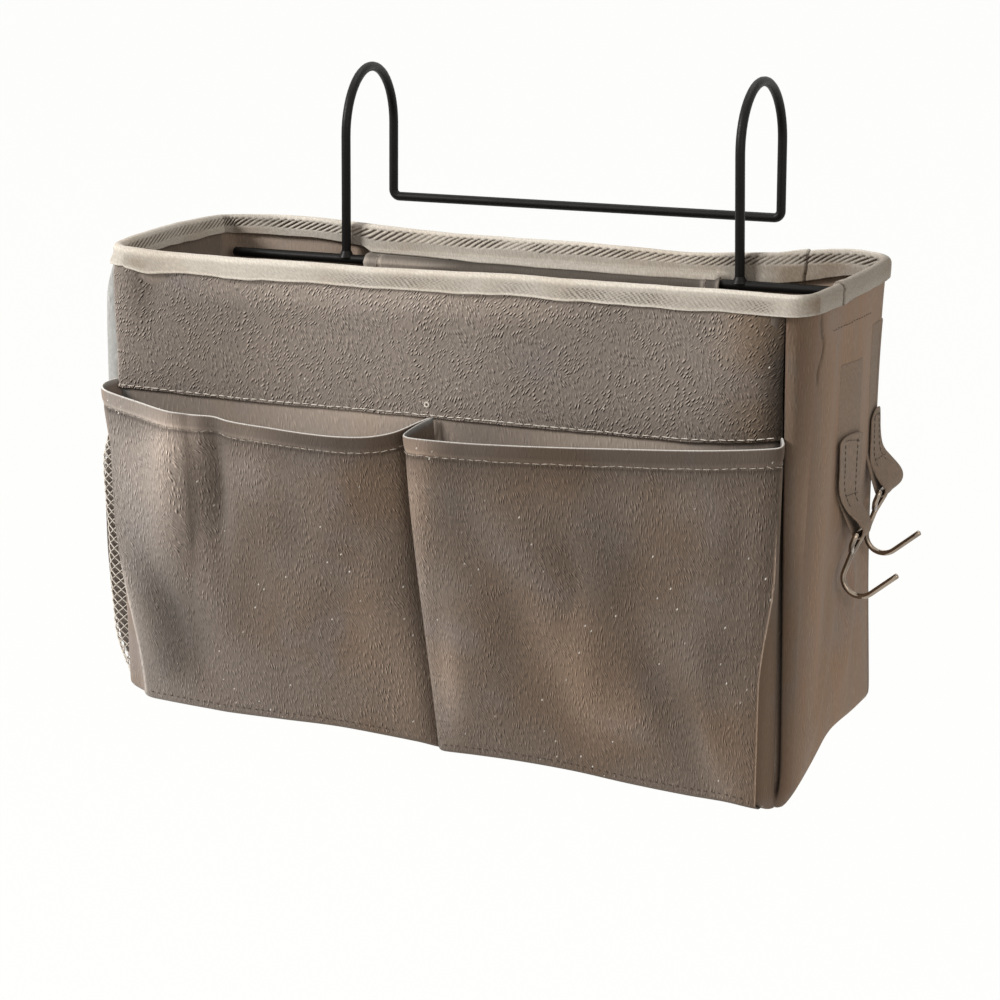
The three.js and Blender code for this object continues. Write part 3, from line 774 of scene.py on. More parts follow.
# front band: folded lower edge over the lower wall, its ends turned into the corner seams
bandShape = dict(
    left=(147.9, 148.7), right=134.9, face=-48.6, lap=12.0, fold=0.9, cloth=0.7, top=183.2, turnLeft=4.0,
    turnRight=10.0, turnDepth=2.4,
    # levels of painted light and shade along x
    tones=(
        (-148, 1.2), (-138, 1.02), (-126, 0.9), (-98, 0.92), (-72, 1.08), (-20, 1.15), (5, 1.08),
        (40, 0.94), (62, 0.9), (85, 1.02), (102, 1.0), (114, 0.88), (135, 0.86),
    ),
    low=(
        (-146, 127.4), (-86, 126.2), (-28, 126.3), (22, 126.0), (75, 125.7), (104, 125.9), (124, 127.6),
        (136, 129.6),
    ),
)


def bandPoint(u, row):
    kind, value = row
    left = -mix(bandShape["left"][0], bandShape["left"][1], value if kind == "face" else 0)
    if kind == "face":
        left += 3.4 * ease(0.86, 0.95, value)
    x = mix(left, bandShape["right"], u)
    low = follow(bandShape["low"], x)
    top = hang(x, -48, bandShape["top"]).z
    face = bandShape["face"]
    intoLeft = (left + bandShape["turnLeft"] - x) / bandShape["turnLeft"]
    intoRight = (x - bandShape["right"] + bandShape["turnRight"]) / bandShape["turnRight"]
    into = max(intoLeft, intoRight, 0)
    turned = bandShape["turnDepth"] * (1 - math.sqrt(max(0.0, 1 - into * into)))
    fold = bandShape["fold"]
    if kind == "inside":
        y, z = face + 2 * fold, low + fold + value
    elif kind == "fold":
        y, z = face + fold + fold * math.cos(value), low + fold - fold * math.sin(value)
        z += 0.35 * ripple(x / 5, 0.4, 7.3)
    else:
        z = mix(low + fold, top, value)
        y = face
        calm = math.sin(math.pi * value)
        y -= calm * (0.9 * ripple(x / 60, z / 40, 1.7) + 0.6 * ripple(x / 24, z / 34, 5.2))
        settle = 1 - ease(0.95, 1.0, value)
        y += 2.4 * bell(x, -131, 5.5) * ease(0.3, 0.9, value) * settle
        y -= 1.6 * bell(x, -141, 6) * ease(0.15, 0.8, value) * settle
        y -= 1.3 * bell(x, 116, 10) * bell(value, 0.5, 0.45)
    return Vector((x, y + turned * (1.0 if kind == "face" else 0.35), z))


# painted light and shade on the band: a painted highlight along its left edge and on its folded lower edge,
# levels along x as listed, painted shade at its right end where it turns away from the light, least near the
# top, with a painted highlight on its upper part just before it, painted shade in a fold near the left, and
# painted light on the upper part from the left to the middle
def bandPaintedLight(u, row):
    kind, value = row
    x = mix(-148, bandShape["right"], u)
    high = value if kind == "face" else 0.0
    tone = (1 + 0.9 * bell(x, -148, 0.9)) * follow(bandShape["tones"], x, 10)
    tone *= 1 - mix(0.78, 0.4, ease(0.45, 0.85, high)) * ease(122, 135, x)
    if kind == "fold":
        tone *= 1 + 1.3 * bell(value, math.pi * 0.7, 0.8)
    tone *= 1 + 0.25 * bell(x, 116, 8) * ease(0.35, 0.7, high)
    tone *= 1 - 0.2 * bell(x, -131, 6) * ease(0.3, 0.9, high)
    return tone * (1 + 0.36 * ease(0.66, 0.8, high) * ease(-135, -90, x) * (1 - ease(30, 70, x)))


def makeBand():
    width = bandShape["right"] + 147
    turnEnd, turnStart = 6 / width, 1 - 12 / width
    us = steps(0, turnEnd, 0.7 / width) + steps(turnEnd, turnStart, 2.6 / width)[1:]
    us += steps(turnStart, 1, 0.8 / width)[1:]
    rows = [("inside", d) for d in (bandShape["lap"], 6, 2, 0.5)]
    rows += [("fold", math.pi * i / 4) for i in range(5)]
    rows += [("face", t) for t in (0.015, 0.03, 0.05)] + [("face", t) for t in steps(0.08, 1, 0.05)]
    heights = [-v if k == "inside" else v if k == "fold" else 3 + 55 * v for k, v in rows]
    # the band's right end is warmer, the brown of its painted shade
    marks = {"tone": bandPaintedLight, "warm": lambda u, row: 0.9 * ease(0.86, 1, u), "weave": lambda u, row: 1.0}
    bm = clothGrid(us, rows, bandPoint, [u * width for u in us], heights, False, marks)
    band = makePiece("front_band", bm, bandCanvas, replaces=("front_upper_panel",))
    thicken(band, bandShape["cloth"], levels=1)
    line = []
    for u in steps(0.006, 0.988, 0.01):
        at = bandPoint(u, ("face", 0.006))
        line.append((at + Vector((0, 0, 0.2 + 0.35 * ripple(at.x / 4, 0.7, 1.9))), (0, -1, 0.0)))
    threads = [
        stitchRow("band_stitches", line, paleThread, pitch=3.7, length=3.7, width=0.5), makeThreadKnot()
    ]


# a loose loop of thread on the band, over the seam between the pockets
knotShape = dict(spot=(-8.7, 131.7), ring=0.9, thread=0.36)


def makeThreadKnot():
    bm = bmesh.new()
    upright = Matrix.Rotation(math.pi / 2, 4, "X")
    start = Matrix.Translation((knotShape["ring"] * mm, 0, 0)) @ upright
    bmesh.ops.create_circle(bm, segments=8, radius=knotShape["thread"] * mm, matrix=start)
    bmesh.ops.spin(
        bm, geom=bm.verts[:] + bm.edges[:], cent=(0, 0, 0), axis=(0, 0, 1), angle=2 * math.pi, steps=18,
        use_merge=True,
    )
    bmesh.ops.remove_doubles(bm, verts=bm.verts[:], dist=1e-7)
    bmesh.ops.recalc_face_normals(bm, faces=bm.faces[:])
    x, z = knotShape["spot"]
    u = (x + 146.5) / (bandShape["right"] + 146.5)
    y = bandPoint(u, ("face", 0.11)).y - 0.2
    bmesh.ops.transform(bm, matrix=Matrix.Translation(Vector((x, y, z)) * mm) @ upright, verts=bm.verts[:])
    return makePiece("band_thread_loop", bm, paleThread)


# rim binding: twill tape folded over the rim, with slanting twill grooves
tapeShape = dict(
    half=147.5, depth=50.0, radii=(8, 9, 10, 6), spacing=(0.58, 0.5, 0.6, 0.5, 0.5, 0.5, 0.7, 0.5, 0.58),
    foot=177.0, top=185.0, thick=0.9, gap=4.5, slant=1.9, frontSlant=-1.2, frontRun=278.0,
    drop=(
        (-150, 0), (-104, 0.3), (-80, 1.4), (-60, 3.0), (-18, 5.4), (27, 6.4), (84, 6.6), (98, 4.4),
        (118, 3.6), (134, 1.2), (142, 0),
    ),
    drape=((45.3, 175.5), (44.4, 175.1), (42.7, 174.9), (41.1, 174.3), (40.1, 173.1), (39.7, 172.0)),
    cover=(-80, -74, 77, 84),
    pitch=(3.3, 3.3, 3.6, 1.6, 2.1, 1.5, 2.0, 3.3, 3.3),
    depths=(0.55, 0.5, 0.3, 0.12, 0.14, 0.08, 0.03, 0.3, 0.55),
    # along the front, how much painted shade darkens the tape's outer leg
    frontShade=((0, 0.06), (0.3, 0.07), (0.45, 0.09), (0.7, 0.09), (0.85, 0.2), (0.95, 0.27), (1, 0.2)),
    # dark: for each part, how strongly the twill grooves are painted as shade
    dark=(1.0, 1.0, 0.7, 0.1, 0.95, 0.2, 0.03, 0.7, 1.0), laps=((6, 0.3), (8, 0.19)),
)


def tapeProfile():
    foot, top, thick, gap = (tapeShape[k] for k in ("foot", "top", "thick", "gap"))
    radius = gap / 2
    spring = top - radius
    outside = [(0.0, z) for z in steps(foot, spring, 0.55)]
    outside += [
        (-radius + radius * math.cos(math.pi * i / 10), spring + radius * math.sin(math.pi * i / 10))
        for i in range(1, 10)
    ]
    outside += [(-gap, z) for z in steps(spring, foot, 0.25)]
    inner = radius - thick
    inside = [(-gap + thick, z) for z in steps(foot, spring, 0.8)]
    inside += [
        (-radius - inner * math.cos(math.pi * i / 4), spring + inner * math.sin(math.pi * i / 4))
        for i in range(1, 4)
    ]
    inside += [(-thick, z) for z in steps(spring, foot, 3)]
    return outside, inside


def makeTape():
    outside, inside = tapeProfile()
    parts = ringParts(tapeShape["half"], -tapeShape["depth"], tapeShape["depth"], tapeShape["radii"])
    spots, lengths = ringSpots(parts, tapeShape["spacing"])
    wayOf = dict(zip(spots, lengths))
    spring = tapeShape["top"] - tapeShape["gap"] / 2
    leg = spring - tapeShape["foot"]
    legStart = leg + math.pi * tapeShape["gap"] / 2
    moreOf = {
        spot: follow(tapeShape["drop"], ringPoint(parts, spot)[0].x, 8) if spot[0] in (0, 8) else 0.0
        for spot in spots
    }

    # real way down the inner leg, which is longer along the back
    def downLeg(spot, v):
        return v if v < legStart else legStart + (v - legStart) * (leg + moreOf[spot]) / leg

    # the longer inner leg hangs straight beside the casing and lies over it in the middle
    def onLeg(spot, share, hollow, hidden):
        x = ringPoint(parts, spot)[0].x
        start = hang(x, tapeShape["depth"] - tapeShape["gap"], spring)
        more = moreOf[spot] + 0.5 * ripple(wayOf[spot] / 14, 0.6, 2.4)
        sink = hollow + (tapeShape["thick"] if hidden else 0.0)
        straight = start + Vector((0, sink, -share * (leg + more)))
        over, along = alongLine(
            [(start.y, start.z), *tapeShape["drape"]], share * (start.z - tapeShape["drape"][0][1] + more)
        )
        draped = Vector((start.x, over.x - along.y * sink * 0.8, over.y + along.x * sink * 0.8))
        a, b, c, d = tapeShape["cover"]
        return straight.lerp(draped, ease(a, b, x) * (1 - ease(c, d, x)))

    profile = [(*p, True) for p in outside] + [(*p, False) for p in inside] + [(*outside[0], True)]
    across = [0.0]
    for a, b in zip(profile, profile[1:]):
        across.append(across[-1] + math.hypot(b[0] - a[0], b[1] - a[1]))
    rows = [(*p, v) for p, v in zip(profile, across)]
    lapWays = [
        sum(partLength(part) for part in parts[:i]) + partLength(parts[i]) * t for i, t in tapeShape["laps"]
    ]

    # depth of the twill grooves: a strip half-way down the inner leg, and finer on the front's outer leg
    def grooveAt(spot, v):
        way, part, v = wayOf[spot], spot[0], downLeg(spot, v)
        outer = part in (3, 4, 5, 6)
        lean = tapeShape["frontSlant"] if outer else tapeShape["slant"]
        wander = 0.5 * ripple(way / 7, v / 3, 2.2) if outer else 0.35 * ripple(way / 24, v / 9, 2.2)
        phase = (way - lean * v) / tapeShape["pitch"][part] + wander
        pulse = clamp(1.5 * (0.5 + 0.5 * math.cos(2 * math.pi * phase)) ** 1.9)
        shift = 0.7 * ripple(way / 30, 0.5, 7.7)
        t = spot[1]
        patches = 0.8 * ripple(way / 19, v / 12, 9.1)
        if not outer:
            zone = ease(11.5 + shift, 12.3 + shift, v) * (1 - ease(15.3 + shift, 16.3 + shift, v))
            return pulse * zone * clamp(0.95 + patches, 0.6, 1)
        seen = 0.55 * ease(0.2, 0.36, t) + 0.25 * ease(0.62, 0.8, t)
        worn = 0.12 + seen * (1 - ease(0.96, 1, t)) if part == 4 else 0.1
        zone = ease(0.6, 1.4, v) * (1 - ease(4.6, 5.8, v)) * worn
        return pulse * zone * clamp(0.75 + patches, 0.25, 1)

    # where one end of the tape laps over the other
    def lapAt(spot, v):
        step = line = 0.0
        for lap in lapWays:
            past = wayOf[spot] - lap - 0.12 * v - 0.5 * ripple(v / 3, lap, 1.1)
            step = max(step, 0.7 * (1 - ease(0, 14, past)) if past > 0 else 0.0)
            line = max(line, bell(past, -0.2, 0.5))
        return step, line

    def place(spot, row):
        out, z, shown, v = row
        at, normal = ringPoint(parts, spot)
        step, line = lapAt(spot, v)
        hollow = (tapeShape["depths"][spot[0]] * grooveAt(spot, v) + 0.3 * line - step) if shown else -step
        centre = Vector((-tapeShape["gap"] / 2, tapeShape["top"] - tapeShape["gap"] / 2))
        face = (Vector((out, z)) - Vector((centre.x, min(z, centre.y)))).normalized()
        if spot[0] in (0, 8) and out <= tapeShape["thick"] - tapeShape["gap"] and z < spring:
            return onLeg(spot, (spring - z) / leg, hollow, not shown)
        way = wayOf[spot]
        lower = 1 - ease(tapeShape["foot"], tapeShape["foot"] + 5, z)
        wobble = 0.6 * ripple(way / 24, 0.3, 6.1) + 0.3 * ripple(way / 9, 0.3, 2.8)
        crumple = 0.5 * ripple(way / 26, z / 20, 4.4) + 0.25 * ripple(way / 11, z / 8, 6.4)
        at = at + normal * (out - face.x * hollow + crumple)
        hung = hang(at.x, at.y, z - face.y * hollow)
        hung.z += wobble * (0.4 + 0.9 * lower)
        if spot[0] == 3:
            hung += Vector((normal.x, normal.y, 0)) * 1.6 * lower * math.sin(math.pi * spot[1])
        if spot[0] == 4:
            hung.z -= 0.2 * lower * ease(0.1, 0.3, spot[1]) * (1 - ease(0.86, 1, spot[1]))
            hung.z -= 1.7 * lower * bell(spot[1] * tapeShape["frontRun"], 9, 9)
        return hung

    # painted shade: darker in the twill grooves and on the line where the tape's ends lap
    def grooveShadeTone(spot, row):
        shown, v = row[2], row[3]
        if not shown:
            return 1.0
        return 1 - max(tapeShape["dark"][spot[0]] * grooveAt(spot, v), 0.8 * lapAt(spot, v)[1])

    # painted shade: the right side, low on the inner leg along the back, on the inner leg near the back's
    # right end and at its left corner, on the front's outer leg, more towards its right end, and in a hollow
    # near the front's left end
    def tapeShadeTone(spot, row):
        part, t = spot
        v = downLeg(spot, row[3])
        side = {5: ease(0.2, 1, t), 6: 0.85, 7: 0.85 * (1 - ease(0, 1, t))}.get(part, 0.0)
        tone = 1 - 0.34 * side * (0.8 + 0.4 * ease(0, 5, v))
        if part in (3, 4, 5):
            worn = linear(tapeShape["frontShade"], t if part == 4 else part / 2 - 1.5)
            tone -= worn * ease(0.2, 1.2, v) * (1 - ease(5.2, 7.4, v))
        if part == 4:
            # painted shade in a hollow near the front's left end
            dip = 0.3 * bell(t * tapeShape["frontRun"], 5, 7)
            tone -= dip * ease(0.6, 1.8, v) * (1 - ease(3.4, 5.4, v))
        if part in (0, 1, 8):
            low = ease(14.6, 16.6, v) * (0.5 + 0.6 * ripple(wayOf[spot] / 33, 0.2, 3.6))
            tone -= 0.3 * clamp(low)
        if part in (0, 1, 7, 8):
            x = ringPoint(parts, spot)[0].x
            # painted shade on the inner leg near the back's right end and at its left corner
            backShade = 0.34 * bell(x, 114, 30) + 0.3 * bell(x, -136, 14)
            tone -= backShade * (0.8 + 0.5 * ripple(x / 9, v / 4, 5.5)) * ease(9.5, 11.5, v)
        return tone

    bm = clothGrid(spots, rows, place, lengths, across, True, {"rib": grooveShadeTone, "tone": tapeShadeTone})
    bmesh.ops.recalc_face_normals(bm, faces=bm.faces[:])
    tape = makePiece("rim_binding", bm, twillTape, replaces=("rim_tape",))


# front pockets: one row per point of the plan: x, y, z at the hem, x, y, z at the foot, and how far
# the upright line between them bends: 1 bends high up, -1 bends low down
pocketShape = dict(
    cloth=0.65, hem=6.2, fold=0.55, seat=-47.3, spacing=2.4, tuck=3.5, rise=124.0, height=126.0,
)
leftPocket = dict(
    name="left_pocket", node="left_front_pocket", flat=(0.186, 0.145), stitched=(38, -20),
    bends=((0.5, 1.0), (0.0, 0.62)), fine=(3.8, 3.9, 4.1, 4.2),
    hems=(
        (-150, 1.1), (-128, 1.15), (-115, 0.92), (-104, 0.66), (-80, 0.82), (-60, 0.62), (-40, 0.48),
        (-10, 0.5),
    ),
    # patches of painted light and shade: x, z, width, height and how much lighter, below zero darker
    patches=(
        (-121, 98, 13, 19, 0.5), (-138, 100, 8, 24, 0.25), (-126, 66, 9, 14, 0.1),
        (-121, 38, 10, 22, -0.32), (-88, 60, 16, 34, -0.12), (-26, 42, 11, 24, 0.28),
        (-109, 34, 11, 20, -0.26), (-109, 113, 9, 10, 0.5), (-14, 15, 10, 22, 0.32), (-62, 78, 9, 16, -0.2),
        (-17, 62, 6, 18, -0.14), (-119, 16, 9, 9, -0.25), (-118, 113, 10, 8, 0.35), (-78, 106, 8, 14, 0.3),
    ),
    plan=(
        (-145.2, -43.4, 130.6, -140.6, -46.4, 5.0, 1.0),
        (-149.4, -47.4, 130.4, -143.0, -48.6, 3.6, 1.0),
        (-150.9, -53.4, 129.6, -143.8, -52.0, 1.2, 1.0),
        (-148.8, -58.4, 128.8, -137.5, -52.6, -1.6, 0.8),
        (-144.6, -60.6, 127.9, -134.0, -56.4, -2.9, -1.0),
        (-131.0, -61.4, 125.2, -127.0, -57.2, -3.4, 0.0),
        (-114.5, -61.9, 122.7, -112.0, -56.8, -4.3, 0.0),
        (-108.5, -59.0, 121.6, -105.5, -56.6, -4.6, 0.0),
        (-101.0, -60.6, 121.4, -98.0, -56.4, -5.0, 0.0),
        (-76.0, -62.2, 119.8, -74.0, -56.4, -4.9, 0.0),
        (-50.0, -62.6, 118.5, -48.0, -56.2, -4.7, 0.0),
        (-30.0, -62.0, 119.2, -26.0, -55.8, -5.8, 0.0),
        (-18.5, -58.6, 121.4, -13.0, -54.0, -7.0, 0.0),
        (-11.5, -52.4, 124.6, -5.0, -51.0, -8.2, 0.0),
        (-7.2, -48.9, 126.4, -1.0, -47.6, -8.6, 0.0),
    ),
    folds=(
        (3.4, 0.5, 40, -139, 7, 42, 24), (-5.0, 0.5, 40, -121, 8, 42, 24), (2.6, 0.5, 40, -98, 13, 40, 26),
        (1.6, -0.3, 60, -58, 15, 62, 34), (-1.6, -0.2, 60, -38, 10, 70, 30), (-1.2, 0, 0, -21, 6, 60, 55),
    ),
    pleat=(4.0, 0.5, 1.2), gusset=(-1.0, 3.4), tones=((-150, 1.1), (-112, 1.05), (-95, 0.94), (-20, 0.92)),
    warmth=((-150, -0.3), (-128, -0.22), (-108, -0.05), (-95, 0.05), (-70, 0.3), (-20, 0.6)),
)
rightPocket = dict(
    name="right_pocket", node="right_front_pocket", flat=(0.196, 0.145), stitched=(26, -34),
    bends=((0.32, 0.68), (0.0, 0.62)), fine=(11.8, 11.9, 12.1, 12.2),
    hems=((-14, 1.15), (-4, 1.1), (10, 0.68), (40, 0.6), (80, 0.56), (105, 0.55), (125, 0.66), (138, 0.7)),
    # patches of painted light and shade: x, z, width, height and how much lighter, below zero darker
    patches=(
        (66, 92, 14, 24, -0.2), (52, 50, 13, 20, 0.25), (74, 18, 14, 12, 0.25), (5, 30, 6, 28, 0.25),
        (-8, 102, 7, 22, 0.95), (-4, 65, 6.5, 20, 0.55), (0, 35, 6.5, 18, 0.45), (4, 12, 8, 18, 0.25),
        (105, 20, 6, 20, -0.15), (119, 9, 6.5, 22, 0.45), (134, 90, 5, 34, -0.25), (122, 80, 6, 40, -0.1),
        (70, 62, 12, 22, -0.15), (30, 50, 8, 26, -0.15), (60, 45, 7, 28, 0.22), (78, 17, 11, 13, 0.18),
        (4, 22, 7, 14, 0.2), (9, 92, 8, 22, -0.2), (76, 78, 12, 18, -0.16), (62, 32, 10, 22, 0.16),
        (115, 48, 6, 12, -0.18),
    ),
    plan=(
        (-6.0, -48.9, 126.6, -0.2, -47.6, -8.4, 0.0),
        (-10.2, -53.2, 124.4, -0.6, -51.6, -8.6, 0.0),
        (-13.4, -58.4, 121.9, -1.2, -55.6, -8.7, 0.0),
        (-12.8, -61.6, 121.0, 0.4, -57.8, -8.6, 0.0),
        (-7.0, -62.6, 120.7, 5.0, -57.8, -8.6, 0.0),
        (6.0, -62.8, 120.6, 14.0, -57.2, -8.6, 0.0),
        (27.0, -62.8, 121.2, 34.0, -56.8, -8.8, 0.0),
        (52.0, -62.4, 122.4, 56.0, -56.6, -9.8, 0.0),
        (76.0, -62.0, 123.8, 78.0, -56.4, -11.8, 0.0),
        (104.0, -61.4, 125.6, 102.0, -56.4, -13.3, 0.2),
        (124.0, -60.8, 127.4, 118.0, -56.8, -13.7, 0.6),
        (133.6, -60.0, 128.5, 126.6, -57.4, -14.4, 1.0),
        (137.4, -58.2, 128.9, 130.8, -57.0, -14.6, 1.0),
        (138.0, -55.4, 129.2, 128.4, -53.4, -14.2, 1.0),
        (137.0, -51.4, 129.6, 132.2, -51.0, -15.2, 0.7),
        (134.9, -46.6, 130.2, 135.2, -46.0, -14.8, 0.0),
    ),
    folds=(
        (2.4, 0.45, 60, 44, 9, 60, 26), (-2.6, 0.45, 60, 64, 9, 78, 26), (3.6, 0.2, 20, 112, 7, 16, 30),
        (-3.8, 0.42, 24, 96, 8, 28, 24), (2.2, 0.3, 20, 66, 11, 22, 20), (1.6, 0.2, 50, 18, 9, 46, 30),
        (-2.4, 0, 0, 2, 6, 66, 48), (-2.0, -0.15, 0, 112, 8, 92, 22),
    ),
    pleat=(12.0, 0.85, 3.0), gusset=(12.6, 17.0), tones=((-14, 0.84), (6, 0.8), (60, 0.86), (140, 0.84)),
    warmth=((-14, 0.2), (10, 0.3), (50, 0.6), (95, 0.35), (135, 0.5)),
)


# folds on the two pocket faces: how far the cloth stands out at x, z
def leftFolds(x, z):
    high = 5.4 * bell(x, -114, 11) - 6.2 * bell(x, -98 + 0.06 * (120 - z), 5.0) + 1.8 * bell(x, -84, 11)
    return high * ease(50, 92, z) + foldSum(leftPocket["folds"], x, z)


def rightFolds(x, z):
    ring = bell(math.hypot(x - 54, (z - 68) / 2.4), 5, 2.0) * ease(50, 57, x)
    return foldSum(rightPocket["folds"], x, z) - 0.7 * ring


def pocketSurface(shape, folds):
    hemLine = [row[0:3] for row in shape["plan"]]
    footLine = [row[3:6] for row in shape["plan"]]
    bending = [(i, row[6]) for i, row in enumerate(shape["plan"])]
    last = len(hemLine) - 1
    start, end = (4.0, 2.0) if shape["gusset"][0] < 0 else (2.0, 4.0)

    def facing(s):
        step = 0.05
        way = alongPath(hemLine, min(s + step, last)) - alongPath(hemLine, max(s - step, 0))
        return Vector((way.y, -way.x, 0)).normalized()

    def face(s, t):
        high, low = alongPath(hemLine, s), alongPath(footLine, s)
        room = clamp((pocketShape["seat"] - low.y) / 6)
        low.z += pocketShape["tuck"] * room
        bend = linear(bending, s)
        stretch, share = (shape["bends"][0], 0.76 * bend) if bend > 0 else (shape["bends"][1], -bend)
        lean = mix(t, ease(*stretch, t), share)
        spot = Vector((mix(low.x, high.x, lean), mix(low.y, high.y, t ** 0.75), mix(low.z, high.z, t)))
        onFace = ease(start - 0.6, start + 1.6, s) * ease(start - 0.6, start + 1.6, last - s + start - end)
        drop = high.z - spot.z
        puff = folds(spot.x, spot.z) + 1.6 * math.sin(math.pi * t)
        puff += 0.9 * ripple(spot.x / 34, spot.z / 46, 7.7) + 0.4 * ripple(spot.x / 13, spot.z / 26, 1.3)
        hem = pocketShape["hem"]
        puff *= onFace * ease(0.0, 0.12, t) * (1 - 0.6 * ease(hem + 9, 0, drop))
        puff += 0.4 * (1 - ease(hem - 0.5, hem + 0.6, drop)) - 0.5 * bell(drop, hem, 1.1)
        out = facing(s)
        return spot + out * puff, out, low, room

    def place(s, row):
        kind, value = row
        if kind == "foot":
            spot, _, low, room = face(s, 0.0)
            z = low.z - pocketShape["tuck"] * room * math.cos(value) ** 1.4
            return Vector((spot.x, mix(max(pocketShape["seat"], spot.y), spot.y, math.sin(value)), z))
        if kind == "face":
            return face(s, value)[0]
        if kind == "fold":
            spot, out = face(s, 1.0)[:2]
            turn = Vector((0, 0, pocketShape["fold"] * math.sin(value)))
            return spot - out * pocketShape["fold"] * (1 - math.cos(value)) + turn
        spot, out = face(s, 1 - value / pocketShape["height"])[:2]
        return spot - out * 2 * pocketShape["fold"]

    return hemLine, face, place


def makePocket(shape, folds):
    hemLine, face, place = pocketSurface(shape, folds)
    spots = sorted(pathSpots(hemLine, pocketShape["spacing"]) + list(shape["fine"]))
    lengths = pathLengths(hemLine, spots)
    rise = pocketShape["rise"]
    hemShare = 1 - pocketShape["hem"] / rise
    shares = steps(0, hemShare - 0.03, 0.024) + [hemShare + d for d in (-0.016, -0.007, 0, 0.007, 0.018)]
    shares += steps(hemShare + 0.03, 1, 0.012)
    rows = [("foot", math.pi / 2 * i / 5) for i in range(5)]
    rows += [("face", t) for t in shares]
    rows += [("fold", math.pi * i / 4) for i in range(1, 5)] + [("inside", d) for d in (3, 6.5, 10)]
    clothWay = {"foot": lambda v: v * 5, "face": lambda v: 8 + rise * v, "fold": lambda v: 132 + v}
    heights = [clothWay.get(k, lambda v: 135 + v)(v) for k, v in rows]

    def gusset(s):
        first, end = shape["gusset"]
        return ease(first - 0.5, first, s) * (1 - ease(end, end + 0.5, s))

    # painted light and shade on the pockets: levels along x as listed, lighter on the gusset, a painted
    # highlight on the hem's folded top, darker at the foot, the hem strip's tone along x as listed, painted
    # shade below the hem, the listed patches of painted light and shade, painted shade in the fold valleys
    # and painted light on the ridges, a painted highlight on the hem's lower edge with a painted shadow just
    # below it, and a painted highlight on the pleat's edge
    def tone(s, row):
        kind, value = row
        shade = linear(shape["tones"], alongPath(hemLine, s).x) * (1 + 0.32 * gusset(s))
        if kind == "fold":
            return shade * (0.7 + 1.5 * bell(value, math.pi * 0.35, 0.9))
        if kind == "foot":
            return shade * mix(0.7, 0.95, math.sin(value))
        if kind == "inside":
            return shade
        drop = (1 - value) * rise
        hem = pocketShape["hem"]
        if drop < hem:
            shade *= linear(shape["hems"], alongPath(hemLine, s).x)
        else:
            shade *= mix(0.78, 1, ease(hem, hem + 13, drop))
        spot = face(s, value)[0]
        for x, z, wide, tall, more in shape["patches"]:
            shade *= 1 + more * bell(spot.x, x, wide) * bell(spot.z, z, tall)
        # painted shade in the fold valleys, painted light on the ridges
        shade *= clamp(1 + 0.035 * folds(spot.x, spot.z) * (1 - gusset(s)), 0.74, 1.16)
        # a painted highlight on the hem's lower edge and a painted shadow just below it
        shade *= 1 + 0.45 * bell(drop, hem - 0.6, 0.6) - 0.4 * bell(drop, hem + 0.9, 0.8)
        at, upTo, gain = shape["pleat"]
        return shade * (1 + gain * bell(s, at, 0.12) * (1 - ease(upTo - 0.2, upTo, value)))

    # the hem's folded top is pale, part of its painted highlight
    def warm(s, row):
        if row[0] == "fold":
            return -0.75
        return linear(shape["warmth"], alongPath(hemLine, s).x) + 0.5 * gusset(s)

    def weave(s, row):
        plain = 0.25 if row[0] != "face" or (1 - row[1]) * rise < pocketShape["hem"] else 1.0
        return plain * (1 - 0.8 * gusset(s))

    bm = clothGrid(spots, rows, place, lengths, heights, False, {"tone": tone, "warm": warm, "weave": weave})
    pocket = makePiece(shape["name"], bm, pocketCanvas, replaces=(shape["node"],))
    thicken(pocket, pocketShape["cloth"], levels=1)
    last = len(hemLine) - 1
    hemRow, footRow = [], []
    for s in steps(0.6, last - 0.6, 0.1):
        spot, out = face(s, hemShare)[:2]
        hemRow.append((spot + Vector((0, 0, 0.4 * ripple(s * 5, 0.3, 4.7))), out))
        footRow.append(face(s, 0.015)[:2])
    threads = [
        stitchRow(shape["name"] + "_hem_stitches", hemRow, seamThread, pitch=3.4, length=3.3, width=0.34),
        stitchRow(
            shape["name"] + "_foot_stitches", footRow[slice(*shape["stitched"])], darkThread, pitch=2.9,
            length=1.3, width=0.42,
        ),
    ]


# net pocket on the left side
netShape = dict(
    rear=44.5, front=-47.6, foot=3.0, top=112.0, depth=14.2, belly=26.0, footShare=0.32, square=8.0,
    pitch=(4.6, 3.8), strand=0.62,
    band=9.0, bandThick=1.6, drawn=0.42,
)


def netPlan():
    line = []
    for i in range(161):
        angle = math.pi * i / 160
        along = -math.copysign(abs(math.cos(angle)) ** (2 / netShape["square"]), math.cos(angle))
        out = math.sin(angle) ** (2 / netShape["square"]) if 0 < i < 160 else 0.0
        y = mix(netShape["rear"], netShape["front"], (along + 1) / 2)
        line.append(Vector((out, y)))
    ways = [0.0]
    for a, b in zip(line, line[1:]):
        ways.append(ways[-1] + math.hypot((b.x - a.x) * netShape["depth"], b.y - a.y))
    return line, ways


netLine, netWays = netPlan()
netLength = netWays[-1]


def netPoint(way, z, out=0.0):
    way = clamp(way, 0, netLength)
    i = min(range(len(netWays) - 1), key=lambda k: (way > netWays[k + 1], k))
    t = (way - netWays[i]) / max(netWays[i + 1] - netWays[i], 1e-6)
    share, y = netLine[i].lerp(netLine[i + 1], clamp(t))
    swell = mix(
        netShape["footShare"], 1, math.sin(math.pi / 2 * clamp((z - netShape["foot"]) / netShape["belly"]))
    )
    drawn = 1 - netShape["drawn"] * ease(netShape["top"] - 18, netShape["top"] + 2, z)
    depth = share * netShape["depth"] * swell * drawn * (1 + 0.1 * ripple(y / 25, z / 30, 4.2))
    at = hang(-halfWidth(z), y, z)
    return Vector((at.x - 1.6 - depth - out, y, at.z))


